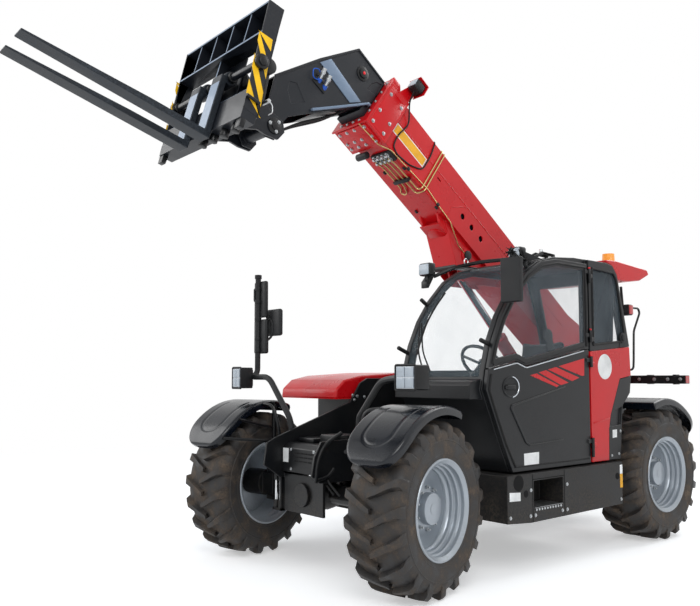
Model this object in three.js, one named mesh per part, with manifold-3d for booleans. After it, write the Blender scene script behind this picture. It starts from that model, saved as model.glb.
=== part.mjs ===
import * as THREE from 'three';
import { mergeVertices } from 'three/addons/utils/BufferGeometryUtils.js';
import Module from 'manifold-3d';

// Telehandler, millimetres. The machine faces -Y, its left side is +X and +Z is up.
// Sizes below are written in the machine's own frame: X = 0 on the centre line,
// Y = 0 over the front axle, Z = 0 on the ground.

const wasm = await Module();
wasm.setup();

// ---------------------------------------------------------------- driving sizes
const WHEELBASE = 3026;
const TRACK = 1861;
const TYRE_R = 580;
const TYRE_W = 426;
const BEAD_R = 305;
const FLANGE_R = BEAD_R + 28;
const WELL_R = BEAD_R - 12;
const WHEEL_SEGMENTS = 24;
const KINGPIN_X = 680;
const STEER_REST = 12.1;

const RAIL_IN = 235;
const RAIL_OUT = 255;
const RAIL_BOTTOM = 690;
const RAIL_REAR = WHEELBASE + 423;

const CAB_OUT = 1020;
const CAB_SKIN = 1055;
const CAB_FLOOR = 750;
const CAB_WALL = 30;
const ROOF_Z = 2430;
const BELT_Z = 1700;
const ROOF_RISE = 730;

const BOOM_ANGLE = 35.6;
const BOOM_PIVOT_Y = RAIL_REAR + 51;
const BOOM_PIVOT_Z = 1840;
const BOOM_HALF_W = 165;
const CAB_IN = BOOM_HALF_W + 17;
const COLLAR_HALF_W = BOOM_HALF_W + 38;
const BOOM_TOP = -113;
const BOOM_BOTTOM = -541;
const BOOM_LENGTH = 3490;
const BOOM_WALL = 12;
const INNER_HALF_W = 140;
const INNER_TOP = -138;
const INNER_BOTTOM = -515;
const COLLAR_LENGTH = 90;

const CARRIAGE_U = 4158;
const CARRIAGE_V = -1274;
const CARRIAGE_TILT = 18.6;
const CARRIAGE_HALF_W = 560;
const FORK_LENGTH = 1250;
const FORK_W = 125;
const FORK_X = 145;

const LIFT_BASE_Y = RAIL_REAR - 349;
const LIFT_BASE_Z = 850;
const LIFT_EYE_U = 1900;
const LIFT_EYE_V = -720;
const LIFT_BARREL = 1400;
const LIFT_ROD = 1360;

const TILT_BASE_U = 3708;
const TILT_BASE_V = -424;
const TILT_ARM = 180;
const TILT_ARM_ANGLE = 60;
const TILT_BARREL = 740;
const TILT_ROD = 700;

const DOOR_HINGE_X = 1070;
const DOOR_HINGE_Y = 1940;
const GAP = 0.3;

// ---------------------------------------------------------------- solid helpers
const DEG = Math.PI / 180;

function signedVolume(position, index) {
  let sum = 0;
  for (let i = 0; i < index.length; i += 3) {
    const [a, b, c] = [index[i] * 3, index[i + 1] * 3, index[i + 2] * 3];
    const [ax, ay, az] = [position[a], position[a + 1], position[a + 2]];
    const [bx, by, bz] = [position[b], position[b + 1], position[b + 2]];
    const [cx, cy, cz] = [position[c], position[c + 1], position[c + 2]];
    sum += ax * (by * cz - bz * cy) + ay * (bz * cx - bx * cz) + az * (bx * cy - by * cx);
  }
  return sum / 6;
}

function solid(geometry) {
  const bare = geometry.clone();
  bare.deleteAttribute('normal');
  bare.deleteAttribute('uv');
  const merged = mergeVertices(bare, 1e-3);
  const position = merged.attributes.position.array;
  const triangles = [];
  for (let i = 0; i < merged.index.count; i += 3) {
    const [a, b, c] = [merged.index.getX(i), merged.index.getX(i + 1), merged.index.getX(i + 2)];
    if (a !== b && b !== c && c !== a) triangles.push(a, b, c);
  }
  if (signedVolume(position, triangles) < 0) triangles.reverse();
  return new wasm.Manifold(new wasm.Mesh({
    numProp: 3,
    vertProperties: Float32Array.from(position),
    triVerts: Uint32Array.from(triangles),
  }));
}

function geometryOf(manifold) {
  const mesh = manifold.getMesh();
  const geometry = new THREE.BufferGeometry();
  geometry.setAttribute('position', new THREE.BufferAttribute(mesh.vertProperties, 3));
  geometry.setIndex(new THREE.BufferAttribute(mesh.triVerts, 1));
  geometry.computeVertexNormals();
  return geometry;
}

const join = (first, ...rest) => rest.reduce((sum, next) => sum.add(next), first);
const cut = (first, ...rest) => rest.reduce((sum, next) => sum.subtract(next), first);

// A box from its corners, whichever way round they are given.
function box(x0, x1, y0, y1, z0, z1) {
  const g = new THREE.BoxGeometry(Math.abs(x1 - x0), Math.abs(y1 - y0), Math.abs(z1 - z0));
  g.translate((x0 + x1) / 2, (y0 + y1) / 2, (z0 + z1) / 2);
  return solid(g);
}

function outline(points) {
  return new THREE.Shape(points.map(([a, b]) => new THREE.Vector2(a, b)));
}

function extrusion(points, depth) {
  return new THREE.ExtrudeGeometry(outline(points), { depth, bevelEnabled: false });
}

// A plate whose outline is drawn in Y and Z, thick along X.
function sidePlate(points, x0, x1) {
  const g = extrusion(points, Math.abs(x1 - x0));
  const turn = new THREE.Matrix4().makeBasis(
    new THREE.Vector3(0, 1, 0), new THREE.Vector3(0, 0, 1), new THREE.Vector3(1, 0, 0));
  g.applyMatrix4(turn);
  g.translate(Math.min(x0, x1), 0, 0);
  return solid(g);
}

// A plate whose outline is drawn in X and Y, thick along Z.
function floorPlate(points, z0, z1) {
  const g = extrusion(points, z1 - z0);
  g.translate(0, 0, z0);
  return solid(g);
}

function rod(from, to, radius, segments = 12, endRadius = radius) {
  const a = new THREE.Vector3(...from);
  const b = new THREE.Vector3(...to);
  const way = b.clone().sub(a);
  const g = new THREE.CylinderGeometry(endRadius, radius, way.length(), segments);
  g.rotateY(Math.PI / segments);
  g.applyQuaternion(new THREE.Quaternion().setFromUnitVectors(
    new THREE.Vector3(0, 1, 0), way.clone().normalize()));
  g.translate((a.x + b.x) / 2, (a.y + b.y) / 2, (a.z + b.z) / 2);
  return solid(g);
}

function ball(centre, radius, across = 8, down = 6) {
  const g = new THREE.SphereGeometry(radius, across, down);
  g.translate(...centre);
  return solid(g);
}

// A bent tube: straight rods that meet in a ball at each bend.
function bentTube(points, radius, segments = 8) {
  const pieces = [];
  for (let i = 0; i + 1 < points.length; i += 1) {
    pieces.push(rod(points[i], points[i + 1], radius, segments));
    if (i > 0) pieces.push(ball(points[i], radius * 1.02, segments, 6));
  }
  return join(...pieces);
}

// A turned shape about the X axis: its profile is a list of [radius, x].
// Radii are the flats of the facets, so concentric pieces keep an even gap.
function turned(profile, side = 1, segments = WHEEL_SEGMENTS) {
  const grow = 1 / Math.cos(Math.PI / segments);
  const points = profile.map(([r, x]) => new THREE.Vector2(r * grow, x * side));
  points.push(points[0].clone());
  const g = new THREE.LatheGeometry(points, segments);
  g.rotateZ(-Math.PI / 2);
  g.rotateX(Math.PI / segments);
  return solid(g);
}

function area(points) {
  let sum = 0;
  points.forEach(([x, y], i) => {
    const [u, v] = points[(i + 1) % points.length];
    sum += x * v - u * y;
  });
  return sum / 2;
}

// The same outline moved inwards by a distance (outwards if negative).
function inset(points, distance) {
  const ccw = area(points) > 0 ? points : [...points].reverse();
  const n = ccw.length;
  const lines = ccw.map(([x, y], i) => {
    const [u, v] = ccw[(i + 1) % n];
    const length = Math.hypot(u - x, v - y);
    const [nx, ny] = [-(v - y) / length, (u - x) / length];
    return [nx, ny, nx * x + ny * y + distance];
  });
  return lines.map(([a, b, c], i) => {
    const [d, e, f] = lines[(i + n - 1) % n];
    const det = a * e - b * d;
    return [(c * e - b * f) / det, (a * f - c * d) / det];
  });
}

function circle(y, z, radius, from, to, steps) {
  return Array.from({ length: steps + 1 }, (unused, i) => {
    const t = (from + (to - from) * i / steps) * DEG;
    return [y + radius * Math.cos(t), z + radius * Math.sin(t)];
  });
}

// ---------------------------------------------------------------- materials
const paint = (color, roughness, metalness = 0) =>
  new THREE.MeshStandardMaterial({ color, roughness, metalness });

const LOOK = {
  red: () => paint('#c8202a', 0.3),
  black: () => paint('#1d2024', 0.45),
  gloss: () => paint('#15181c', 0.2),
  charcoal: () => paint('#2a2d31', 0.5),
  silver: () => paint('#b4bac0', 0.35, 0.6),
  rubber: () => paint('#2c2724', 0.9),
  chrome: () => paint('#d8dadc', 0.12, 1),
  glass: () => {
    const m = paint('#c4d6dc', 0.05);
    m.transparent = true;
    m.opacity = 0.3;
    return m;
  },
  iron: () => paint('#3a3d40', 0.6, 0.4),
  seat: () => paint('#26282b', 0.85),
  amber: () => paint('#f09a10', 0.3),
};

const machine = new THREE.Group();

function add(name, shape, look, parent = machine) {
  const mesh = new THREE.Mesh(geometryOf(shape), look());
  mesh.name = name;
  parent.add(mesh);
  return mesh;
}

// ---------------------------------------------------------------- chassis
const railFoot = [
  [RAIL_REAR, RAIL_BOTTOM], [WHEELBASE - 246, RAIL_BOTTOM], [WHEELBASE - 426, 470], [430, 470],
  [260, RAIL_BOTTOM], [-250, RAIL_BOTTOM], [-325, 745],
];
const leftRail = [
  ...railFoot, [-300, 880], [-240, 985], [300, 1000], [560, 985], [700, CAB_FLOOR - GAP],
  [2404, CAB_FLOOR - GAP], [2450, 1000], [RAIL_REAR - 199, 1020], [RAIL_REAR - 149, 1250], [RAIL_REAR, 1250],
];
const rightRail = [
  ...railFoot, [-398, 790], [-372, 955], [-290, 994], [447, 1243], [560, 1400], [640, 1440],
  [1250, 1440], [1400, 1300], [2330, 1250], [2480, 1020], [RAIL_REAR - 199, 1020],
  [RAIL_REAR - 149, 1250], [RAIL_REAR, 1250],
];

function trunnionPlate(y0, y1) {
  const hole = rod([0, y0 - 5, TYRE_R], [0, y1 + 5, TYRE_R], 85.4 / Math.cos(Math.PI / 20), 20);
  return cut(box(-RAIL_IN - 1, RAIL_IN + 1, y0, y1, 440, 720), hole);
}

const chassis = join(
  sidePlate(leftRail, RAIL_IN, RAIL_OUT),
  sidePlate(rightRail, -RAIL_OUT, -RAIL_IN),
  trunnionPlate(-210, -185),
  trunnionPlate(185, 210),
  trunnionPlate(WHEELBASE - 210, WHEELBASE - 185),
  trunnionPlate(WHEELBASE + 185, WHEELBASE + 210),
  box(-RAIL_IN - 1, RAIL_IN + 1, 430, WHEELBASE - 426, 470, 482),
  box(-RAIL_IN - 1, RAIL_IN + 1, 700, 720, 481, 735),
  box(-RAIL_IN - 1, RAIL_IN + 1, 1800, 1820, 481, 700),
  box(-RAIL_IN - 1, RAIL_IN + 1, RAIL_REAR - 149, RAIL_REAR - 129, 719, 1240),
  rod([-RAIL_IN - 1, LIFT_BASE_Y, LIFT_BASE_Z], [RAIL_IN + 1, LIFT_BASE_Y, LIFT_BASE_Z], 30, 12),
);
add('chassis_frame', chassis, LOOK.black);

const towerOutline = [
  [RAIL_REAR - 119, 900], [RAIL_REAR + 141, 900], [RAIL_REAR + 171, 1500],
  ...circle(BOOM_PIVOT_Y, BOOM_PIVOT_Z, 130, -20, 200, 10),
  [RAIL_REAR - 119, 1500],
];
const towerInner = RAIL_IN - GAP - 30;
const tower = join(
  sidePlate(towerOutline, towerInner, RAIL_IN - GAP),
  sidePlate(towerOutline, -RAIL_IN + GAP, -towerInner),
  box(-towerInner - 1, towerInner + 1, RAIL_REAR + 111, RAIL_REAR + 136, 910, 1240),
  rod([-RAIL_IN + 1, BOOM_PIVOT_Y, BOOM_PIVOT_Z], [RAIL_IN - 1, BOOM_PIVOT_Y, BOOM_PIVOT_Z], 45, 16),
  rod([RAIL_IN - 2, BOOM_PIVOT_Y, BOOM_PIVOT_Z], [RAIL_IN + 22, BOOM_PIVOT_Y, BOOM_PIVOT_Z], 62, 16),
  rod([-RAIL_IN + 2, BOOM_PIVOT_Y, BOOM_PIVOT_Z], [-RAIL_IN - 22, BOOM_PIVOT_Y, BOOM_PIVOT_Z], 62, 16),
);
add('boom_tower', tower, LOOK.red);

const ballast = join(
  box(-340, 340, RAIL_REAR + GAP, RAIL_REAR + 331, 560, 870),
  box(-60, 60, RAIL_REAR + 330, RAIL_REAR + 401, 600, 628),
  box(-60, 60, RAIL_REAR + 330, RAIL_REAR + 401, 700, 728),
);
add('counterweight', ballast, LOOK.black);

const beamPost = (x) => box(x - 25, x + 25, RAIL_REAR + 251, RAIL_REAR + 311, 870 + GAP, 1390);
const rearBeam = join(
  box(-1000, 1000, RAIL_REAR + 241, RAIL_REAR + 321, 1385, 1468), beamPost(290), beamPost(-290));
add('rear_beam', rearBeam, LOOK.black);

// ---------------------------------------------------------------- axles and wheels
function axle(y) {
  const bulk = new THREE.SphereGeometry(150, 14, 8);
  bulk.scale(1, 1.1, 0.86);
  bulk.translate(0, y, TYRE_R);
  const pieces = [
    solid(bulk),
    rod([-560, y, TYRE_R], [560, y, TYRE_R], 72, 12),
    rod([0, y - 235, TYRE_R], [0, y + 235, TYRE_R], 85 / Math.cos(Math.PI / 20), 20),
  ];
  for (const s of [-1, 1]) {
    const x = s * KINGPIN_X;
    const inner = s * (KINGPIN_X - 165);
    const web = s * (KINGPIN_X - 105);
    pieces.push(box(inner, web, y - 70, y + 70, TYRE_R - 125, TYRE_R + 125));
    for (const z of [TYRE_R - 125, TYRE_R + 88 + GAP]) {
      pieces.push(box(inner, x, y - 58, y + 58, z, z + 37 - GAP));
      pieces.push(rod([x, y, z], [x, y, z + 37 - GAP], 60, 16));
    }
  }
  const bore = 35.6;
  const holes = [-1, 1].map((s) => rod(
    [s * KINGPIN_X, y, TYRE_R - 200], [s * KINGPIN_X, y, TYRE_R + 200], bore, 24));
  return cut(join(...pieces), ...holes);
}
add('front_axle', axle(0), LOOK.black);
add('rear_axle', axle(WHEELBASE), LOOK.black);

const wheelX = TRACK / 2 - KINGPIN_X;
const halfTyre = TYRE_W / 2;
const FENDER_R = 670;
const FENDER_T = 8;

function knuckle(s) {
  const hub = wheelX + 12 - GAP;
  const shape = join(
    box(s * -45, s * 72, -60, 60, -86, 86),
    rod([0, 0, -125], [0, 0, 140], 35, 24),
    rod([s * 70, 0, 0], [s * hub, 0, 0], 105, 20),
    rod([0, 0, 125.5], [0, 0, FENDER_R - 14], 20, 8),
    box(s * -20, s * (wheelX + 170), -20, 20, FENDER_R - 26, FENDER_R - GAP),
  );
  return shape;
}

function rim() {
  return [
    [0, 122], [112, 122], [112, 60], [WELL_R - 31, 46], [WELL_R, 78], [WELL_R, 186], [FLANGE_R, halfTyre - 8],
    [FLANGE_R, halfTyre - 16.6], [BEAD_R, halfTyre - 16.6],
    [BEAD_R, -halfTyre + 16.6], [FLANGE_R, -halfTyre + 16.6], [FLANGE_R, -halfTyre + 8],
    [WELL_R, -186], [WELL_R, 24], [120, 12], [0, 12],
  ];
}

function tyre() {
  const seat = BEAD_R + GAP;
  const side = halfTyre - 17;
  return [
    [seat, -150], [seat, -side], [FLANGE_R + 3, -side], [430, -halfTyre], [530, -halfTyre + 8],
    [TYRE_R, -halfTyre + 45], [TYRE_R, halfTyre - 45], [530, halfTyre - 8], [430, halfTyre],
    [FLANGE_R + 3, side], [seat, side], [seat, 150], [BEAD_R + 40, 168], [430, 186],
    [545, 150], [545, -150], [430, -186], [BEAD_R + 40, -168],
  ];
}

function arcPlate(radius, thickness, from, to, step, x0, x1) {
  const count = Math.round((to - from) / step);
  const grow = 1 / Math.cos(step * DEG / 2);
  const inner = circle(0, 0, radius * grow, 90 + from, 90 + to, count);
  const outer = circle(0, 0, (radius + thickness) * grow, 90 + to, 90 + from, count);
  return sidePlate([...inner, ...outer], x0, x1);
}

// Fender: a plate bent over the tyre, with a turned-down lip at its outer edge.
function fender(s, from, to) {
  const inside = s * (wheelX - 228);
  const outside = s * (wheelX + 222);
  const lip = s * (wheelX + 214);
  return join(
    arcPlate(FENDER_R, FENDER_T, from, to, 8, inside, outside),
    arcPlate(FENDER_R - 34, FENDER_T + 34, from, to, 8, lip, outside),
  );
}

function corner(tag, s, y, steer, from, to) {
  const group = new THREE.Group();
  group.position.set(s * KINGPIN_X, y, TYRE_R);
  group.rotation.z = steer * DEG;
  machine.add(group);
  const wheel = new THREE.Group();
  wheel.position.x = s * wheelX;
  group.add(wheel);
  add(`knuckle_${tag}`, knuckle(s), LOOK.black, group);
  add(`fender_${tag}`, fender(s, from, to), LOOK.gloss, group);
  add(`rim_${tag}`, turned(rim(), s), LOOK.silver, wheel);
  add(`tyre_${tag}`, turned(tyre(), s), LOOK.rubber, wheel);
}
corner('fl', 1, 0, STEER_REST, -20, 60);
corner('fr', -1, 0, STEER_REST, -20, 60);
corner('rl', 1, WHEELBASE, 0, -60, 20);
corner('rr', -1, WHEELBASE, 0, -60, 20);

// ---------------------------------------------------------------- engine side
const podOut = -1080;
const podIn = -RAIL_OUT - GAP;
const podFront = 770;
const podRear = 2290;
const podTop = 1268;
const podOutline = [
  [podFront, 560], [podFront + 90, 430], [podRear - 90, 430], [podRear, 560],
  [podRear, podTop], [podFront, podTop],
];
const pod = cut(
  sidePlate(podOutline, podOut, podIn),
  sidePlate(inset([...podOutline.slice(0, 4), [podRear, podTop + 90], [podFront, podTop + 90]], 22),
    podOut + 22, podIn - 22),
);
const hoodHingeY = podRear + 30;
const hoodHingeZ = podTop + 30;
const hoodHinge = (x) => join(
  sidePlate([[podRear - 20, podTop - 60], [podRear + 12, podTop - 60], [hoodHingeY + 16, hoodHingeZ - 12],
    [hoodHingeY + 16, hoodHingeZ + 14], [hoodHingeY - 14, hoodHingeZ + 14], [podRear + 4, podTop - 10],
    [podRear - 20, podTop - 10]], x, x + 12),
  rod([x + 6, hoodHingeY, hoodHingeZ], [x + 40, hoodHingeY, hoodHingeZ], 7, 10));
add('engine_pod', join(pod, hoodHinge(-960), hoodHinge(-460)), LOOK.charcoal);
add('engine_block', box(-880, -440, 1050, 1750, 452 + GAP, 1000), LOOK.iron);

const hoodOutline = [
  [335, podTop + GAP], [348, 1350], [440, 1425], [620, 1462], [1100, 1490],
  [podRear, 1490], [podRear, podTop + GAP],
];
const hoodHollow = inset(hoodOutline, 16).map(([y, z]) => [y, z < 1300 ? 1200 : z]);
const hoodEye = (x) => cut(
  join(
    box(x, x + 16, podRear - 10, hoodHingeY, hoodHingeZ - 12, hoodHingeZ + 12),
    rod([x, hoodHingeY, hoodHingeZ], [x + 16, hoodHingeY, hoodHingeZ], 15, 12),
  ),
  rod([x - 5, hoodHingeY, hoodHingeZ], [x + 25, hoodHingeY, hoodHingeZ], 7.6, 10),
);
const hood = join(
  cut(
    sidePlate(hoodOutline, -1060, -292),
    sidePlate(hoodHollow, -1044, -308),
  ),
  hoodEye(-940),
  hoodEye(-440),
);
add('hood', hood, LOOK.red);

const cover = sidePlate(
  [[-232, 735], [140, 735], [140, 950], [-180, 950], [-225, 915]],
  -RAIL_IN + GAP, RAIL_IN - GAP);
add('front_cover', cover, LOOK.black);

// ---------------------------------------------------------------- left skirt with its step
const skirtOutline = [
  [785, 400], [785, 738], [2330, 738], [2322, 388], [1065, 379],
];
const skirt = cut(
  sidePlate(skirtOutline, RAIL_OUT + GAP, 1100),
  box(880, 1120, 1097, 1466, 483, 681),
  box(RAIL_OUT - 10, 930, 2290, 2340, 370, 750),
);
add('side_tank', skirt, LOOK.black);

// ---------------------------------------------------------------- cab
// Heights above the belt are drawn for a roof that stands ROOF_RISE over it.
const up = (z) => (z > BELT_Z ? BELT_Z + (z - BELT_Z) * (ROOF_Z - BELT_Z) / ROOF_RISE : z);
const raised = (points) => points.map(([y, z]) => [y, up(z)]);
const cabOutline = raised([
  [904, CAB_FLOOR], [800, 960], [700, 1170], [612, 1356], [640, 1500], [700, 1700], [800, 1900],
  [935, 2080], [1110, 2250], [1290, 2350], [1500, 2405], [1800, 2430], [2232, 2432],
  [2330, 2415], [2400, 2340], [2500, 2000], [2580, 1700], [2592, 1440], [2572, 1310],
  [2450, 1205], [2300, CAB_FLOOR],
]);
const doorOutline = raised([
  [908, CAB_FLOOR + 3], [804, 960], [704, 1170], [617, 1356], [645, 1500], [704, 1700],
  [804, 1900], [938, 2078], [1112, 2246], [1291, 2344], [1500, 2385], [1926, 2385],
  [1926, CAB_FLOOR + 3],
]);
const quarterWindow = raised(
  [[1995, 1712], [2500, 1760], [2480, 1890], [2380, 2290], [2330, 2350], [1995, 2362]]);
const rightWindow = raised([
  [760, 1500], [830, 1760], [930, 1950], [1090, 2130], [1290, 2280], [1500, 2330], [2290, 2340],
  [2420, 1980], [2490, 1700], [2480, 1520],
]);
const cabInside = inset(cabOutline, CAB_WALL);

// Window openings, each wider by the distance given.
const frontOpening = (d) => join(
  sidePlate([[560, 1452 - d], [560, 2500], [1420 + d, 2500], [1420 + d, up(2200)], [1180 + d, up(2000)],
    [760, 1452 - d]],
    CAB_IN + 45 - d, CAB_OUT - 45 + d));
const rearOpening = (d) => box(CAB_IN + 60 - d, CAB_OUT - 60 + d, 2250, 2700, 1560 - d, up(2280) + d);
const rightOpening = (d) => sidePlate(inset(rightWindow, -d), CAB_IN - 20, CAB_IN + 60);
const quarterOpening = (d) => sidePlate(inset(quarterWindow, -d), CAB_OUT - 60, CAB_SKIN + 20);

const skinRear = sidePlate(
  raised([[1950, 1662], [1950, 2424], [2232, 2424], [2326, 2409], [2395, 2336], [2495, 2000], [2570, 1716]]),
  CAB_OUT - 1, CAB_SKIN);
const hingeBarrel = (z0, z1) => join(
  rod([DOOR_HINGE_X, DOOR_HINGE_Y, z0], [DOOR_HINGE_X, DOOR_HINGE_Y, z1], 11, 10));
const HINGES = [880, 1540, up(1745), up(2270)];
const hingeLeaf = (z) => join(
  box(CAB_SKIN - 2, DOOR_HINGE_X, DOOR_HINGE_Y - 4, DOOR_HINGE_Y + 60, z, z + 32),
  hingeBarrel(z, z + 32));
const cornerPanel = cut(
  sidePlate([[2405, 1434], [2586, 1459], [2589, 1438], [2569, 1312], [2447, 1207], [2422, 1040],
    [2397, CAB_FLOOR + 4], [2208, CAB_FLOOR + 4], [2218, 1013], [2248, 1129]], CAB_OUT - 1, CAB_SKIN - 4),
  sidePlate([[2430, 1195], [2285, 1160], [2238, 1032], [2405, 1045]], CAB_OUT + 12, CAB_SKIN),
);
const cowl = cut(
  sidePlate([[505, 1290], [505, 1392], [535, 1418], [655, 1436], [720, 1290]], CAB_IN + 58, CAB_OUT - 20),
  sidePlate(inset(cabOutline, CAB_WALL / 2), CAB_IN, CAB_SKIN),
);
const cabFrame = join(
  cut(
    join(sidePlate(cabOutline, CAB_IN, CAB_OUT), skinRear),
    sidePlate(cabInside, CAB_IN + 22, CAB_OUT - 22),
    frontOpening(0), rearOpening(0), rightOpening(0), quarterOpening(0),
    sidePlate(inset(doorOutline, 45), CAB_OUT - 40, CAB_OUT + 5),
  ),
  hingeLeaf(HINGES[2]),
  hingeLeaf(HINGES[3]),
  cornerPanel,
  cowl,
);
add('cab_frame', cabFrame, LOOK.charcoal);

const sidePanel = join(
  sidePlate(
    [[1950, CAB_FLOOR + 4], [1950, 1660], [2568, up(1714)], [2582, 1462], [2401, 1436], [2244, 1130],
      [2214, 1013], [2204, CAB_FLOOR + 4]],
    CAB_OUT + GAP, CAB_SKIN),
  hingeLeaf(HINGES[0]),
  hingeLeaf(HINGES[1]),
);
add('cab_side_panel', sidePanel, LOOK.red);

const paneShell = cut(
  sidePlate(inset(cabOutline, 10), CAB_IN + 8, CAB_OUT - 8),
  sidePlate(inset(cabOutline, 16), CAB_IN + 14, CAB_OUT - 14),
);
add('glass_front', paneShell.intersect(frontOpening(-GAP)), LOOK.glass);
add('glass_rear', paneShell.intersect(rearOpening(-GAP)), LOOK.glass);
add('glass_right', paneShell.intersect(rightOpening(-GAP)), LOOK.glass);
add('glass_quarter',
  sidePlate(inset(quarterWindow, GAP), CAB_SKIN - 16, CAB_SKIN - 10), LOOK.glass);

// Door: a lower leaf and an upper window frame that share one upright hinge line.
const belt = [[400, 1462], [690, 1512], [973, 1563], [1085, 1528], [1850, 1672], [1990, 1672]];
const beltBelow = [[400, 600], ...belt, [1990, 600]];
const beltAbove = [[400, 2500], ...belt.map(([y, z]) => [y, z + 6]), [1990, 2500]];
const doorIn = CAB_OUT + 5;
const doorOut = CAB_SKIN + 3;
const doorBlank = sidePlate(doorOutline, doorIn, doorOut);
const doorHollow = sidePlate(inset(doorOutline, 45), doorIn - 5, doorOut - 7);
const doorLeaf = (z) => join(
  box(doorOut - 3, DOOR_HINGE_X, DOOR_HINGE_Y - 60, DOOR_HINGE_Y + 4, z, z + 32),
  hingeBarrel(z, z + 32));
const lowerDoor = join(
  cut(
    doorBlank.intersect(sidePlate(beltBelow, doorIn - 20, doorOut + 20)),
    doorHollow.intersect(
      sidePlate(beltBelow.map(([y, z]) => [y, z > 1000 ? z - 60 : z]), doorIn - 20, doorOut + 20)),
  ),
  doorLeaf(HINGES[0] + 32 + GAP),
  doorLeaf(HINGES[1] + 32 + GAP),
);
add('door_lower', lowerDoor, LOOK.charcoal);

const upperBlank = doorBlank.intersect(sidePlate(beltAbove, doorIn - 20, doorOut + 20));
const doorWindow = (d) => sidePlate(inset(doorOutline, 58 - d), doorIn - 20, doorOut + 20)
  .intersect(sidePlate(beltAbove.map(([y, z]) => [y, z < 2000 ? z + 55 - d : z]), doorIn - 20, doorOut + 20));
const upperDoor = join(
  cut(upperBlank, doorWindow(0)),
  doorLeaf(HINGES[2] + 32 + GAP),
  doorLeaf(HINGES[3] + 32 + GAP),
);
add('door_upper', upperDoor, LOOK.charcoal);
add('door_glass',
  doorWindow(-GAP).intersect(box(doorOut - 16, doorOut - 10, 500, 2000, 1400, 2500)), LOOK.glass);

// Inside the cab.
const floorZ = CAB_FLOOR + CAB_WALL + GAP;
const console3 = join(
  sidePlate([[960, floorZ], [845, 960], [748, 1170], [665, 1356], [700, 1430], [900, 1430], [985, 1330],
    [1010, floorZ]], 300, 930),
  rod([615, 900, 1380], [615, 1098, 1542], 24, 10),
);
add('console', console3, LOOK.black);
const ring = new THREE.TorusGeometry(185, 14, 6, 20);
const wheelHub = new THREE.CylinderGeometry(42, 34, 30, 12);
wheelHub.rotateX(Math.PI / 2);
const spokes = [90, 210, 330].map((t) => rod(
  [0, 0, -4], [182 * Math.cos(t * DEG), 182 * Math.sin(t * DEG), 0], 11, 6));
const steering = new THREE.Group();
steering.position.set(615, 1110, 1552);
steering.rotation.x = -50 * DEG;
machine.add(steering);
add('steering_wheel', join(solid(ring), solid(wheelHub), ...spokes), LOOK.black, steering);
add('seat_base', join(
  box(430, 830, 1430, 1830, floorZ, 1120),
  sidePlate([[1829, 1000], [1832, 1119], [1960, 1700], [2000, 1690], [1890, 1100], [1880, 1000]], 560, 700),
), LOOK.black);
add('seat_cushion', box(385, 875, 1370, 1830, 1120 + GAP, 1235), LOOK.seat);
add('seat_back',
  sidePlate([[1742, 1235 + GAP], [1828, 1235 + GAP], [1955, 1755], [1870, 1790]], 400, 860), LOOK.seat);

// On the cab.
const cabEnvelope = sidePlate(inset(cabOutline, -GAP), CAB_IN - GAP, CAB_SKIN + GAP);
const visor = cut(
  sidePlate(
    [[2250, -30], [2390, -134], [2560, -140], [2800, -112], [2962, -45], [2930, -2], [2400, 32],
      [2250, 25]].map(([y, z]) => [y, ROOF_Z + z]),
    CAB_IN + 60, CAB_SKIN - 10),
  cabEnvelope);
add('roof_visor', visor, LOOK.red);
const beaconX = 800;
const beaconY = 2690;
add('beacon', join(
  rod([beaconX, beaconY, ROOF_Z + 17.3], [beaconX, beaconY, ROOF_Z + 70], 54, 14),
  rod([beaconX, beaconY, ROOF_Z + 69], [beaconX, beaconY, ROOF_Z + 149], 58, 14, 54),
), LOOK.amber);

const leftMirror = cut(
  join(
    bentTube([[998, 1185, up(2285)], [998, 1150, up(2345)], [1165, 785, up(2345)], [1165, 785, up(2300)]], 13),
    box(1080, 1255, 760, 805, up(1985), up(2310)),
  ),
  sidePlate(inset(cabOutline, -GAP), CAB_IN - GAP, CAB_OUT + GAP),
);
add('mirror_left', leftMirror, LOOK.black);

// A lamp on a bent tube that rises from a foot on the frame's side plate.
function lampStand(s, y, path, lamp, ...rest) {
  return join(
    box(s * (RAIL_OUT + GAP), s * (RAIL_OUT + 40), y - 55, y + 55, 860, 985),
    bentTube([[s * (RAIL_OUT + 24), y, 930], ...path], 24),
    box(...lamp),
    ...rest,
  );
}
add('lamp_left', lampStand(1, 95,
  [[285, 88, 1090], [300, 80, 1150], [600, 23, 1420], [750, 15, 1440], [880, 15, 1440]],
  [815, 1005, -40, 100, 1360, 1530]), LOOK.black);
add('lamp_mirror_right', lampStand(-1, -100,
  [[-285, -110, 1070], [-300, -125, 1145], [-620, -97, 1450], [-900, -69, 1450], [-930, -3, 1490],
    [-930, -3, 2330]],
  [-1010, -880, -200, -80, 1355, 1530],
  box(-1010, -825, 8, 45, 1650, 2275),
  bentTube([[-930, -3, 1890], [-810, 85, 1890]], 12),
  box(-925, -700, 70, 105, 1800, 2030),
), LOOK.black);

// ---------------------------------------------------------------- boom
// Inside the boom's group -Y runs along the boom from its pivot and +Z is its upper side.
const along = (points) => points.map(([u, v]) => [-u, v]);
const boom = new THREE.Group();
boom.position.set(0, BOOM_PIVOT_Y, BOOM_PIVOT_Z);
boom.rotation.x = -BOOM_ANGLE * DEG;
machine.add(boom);

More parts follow.
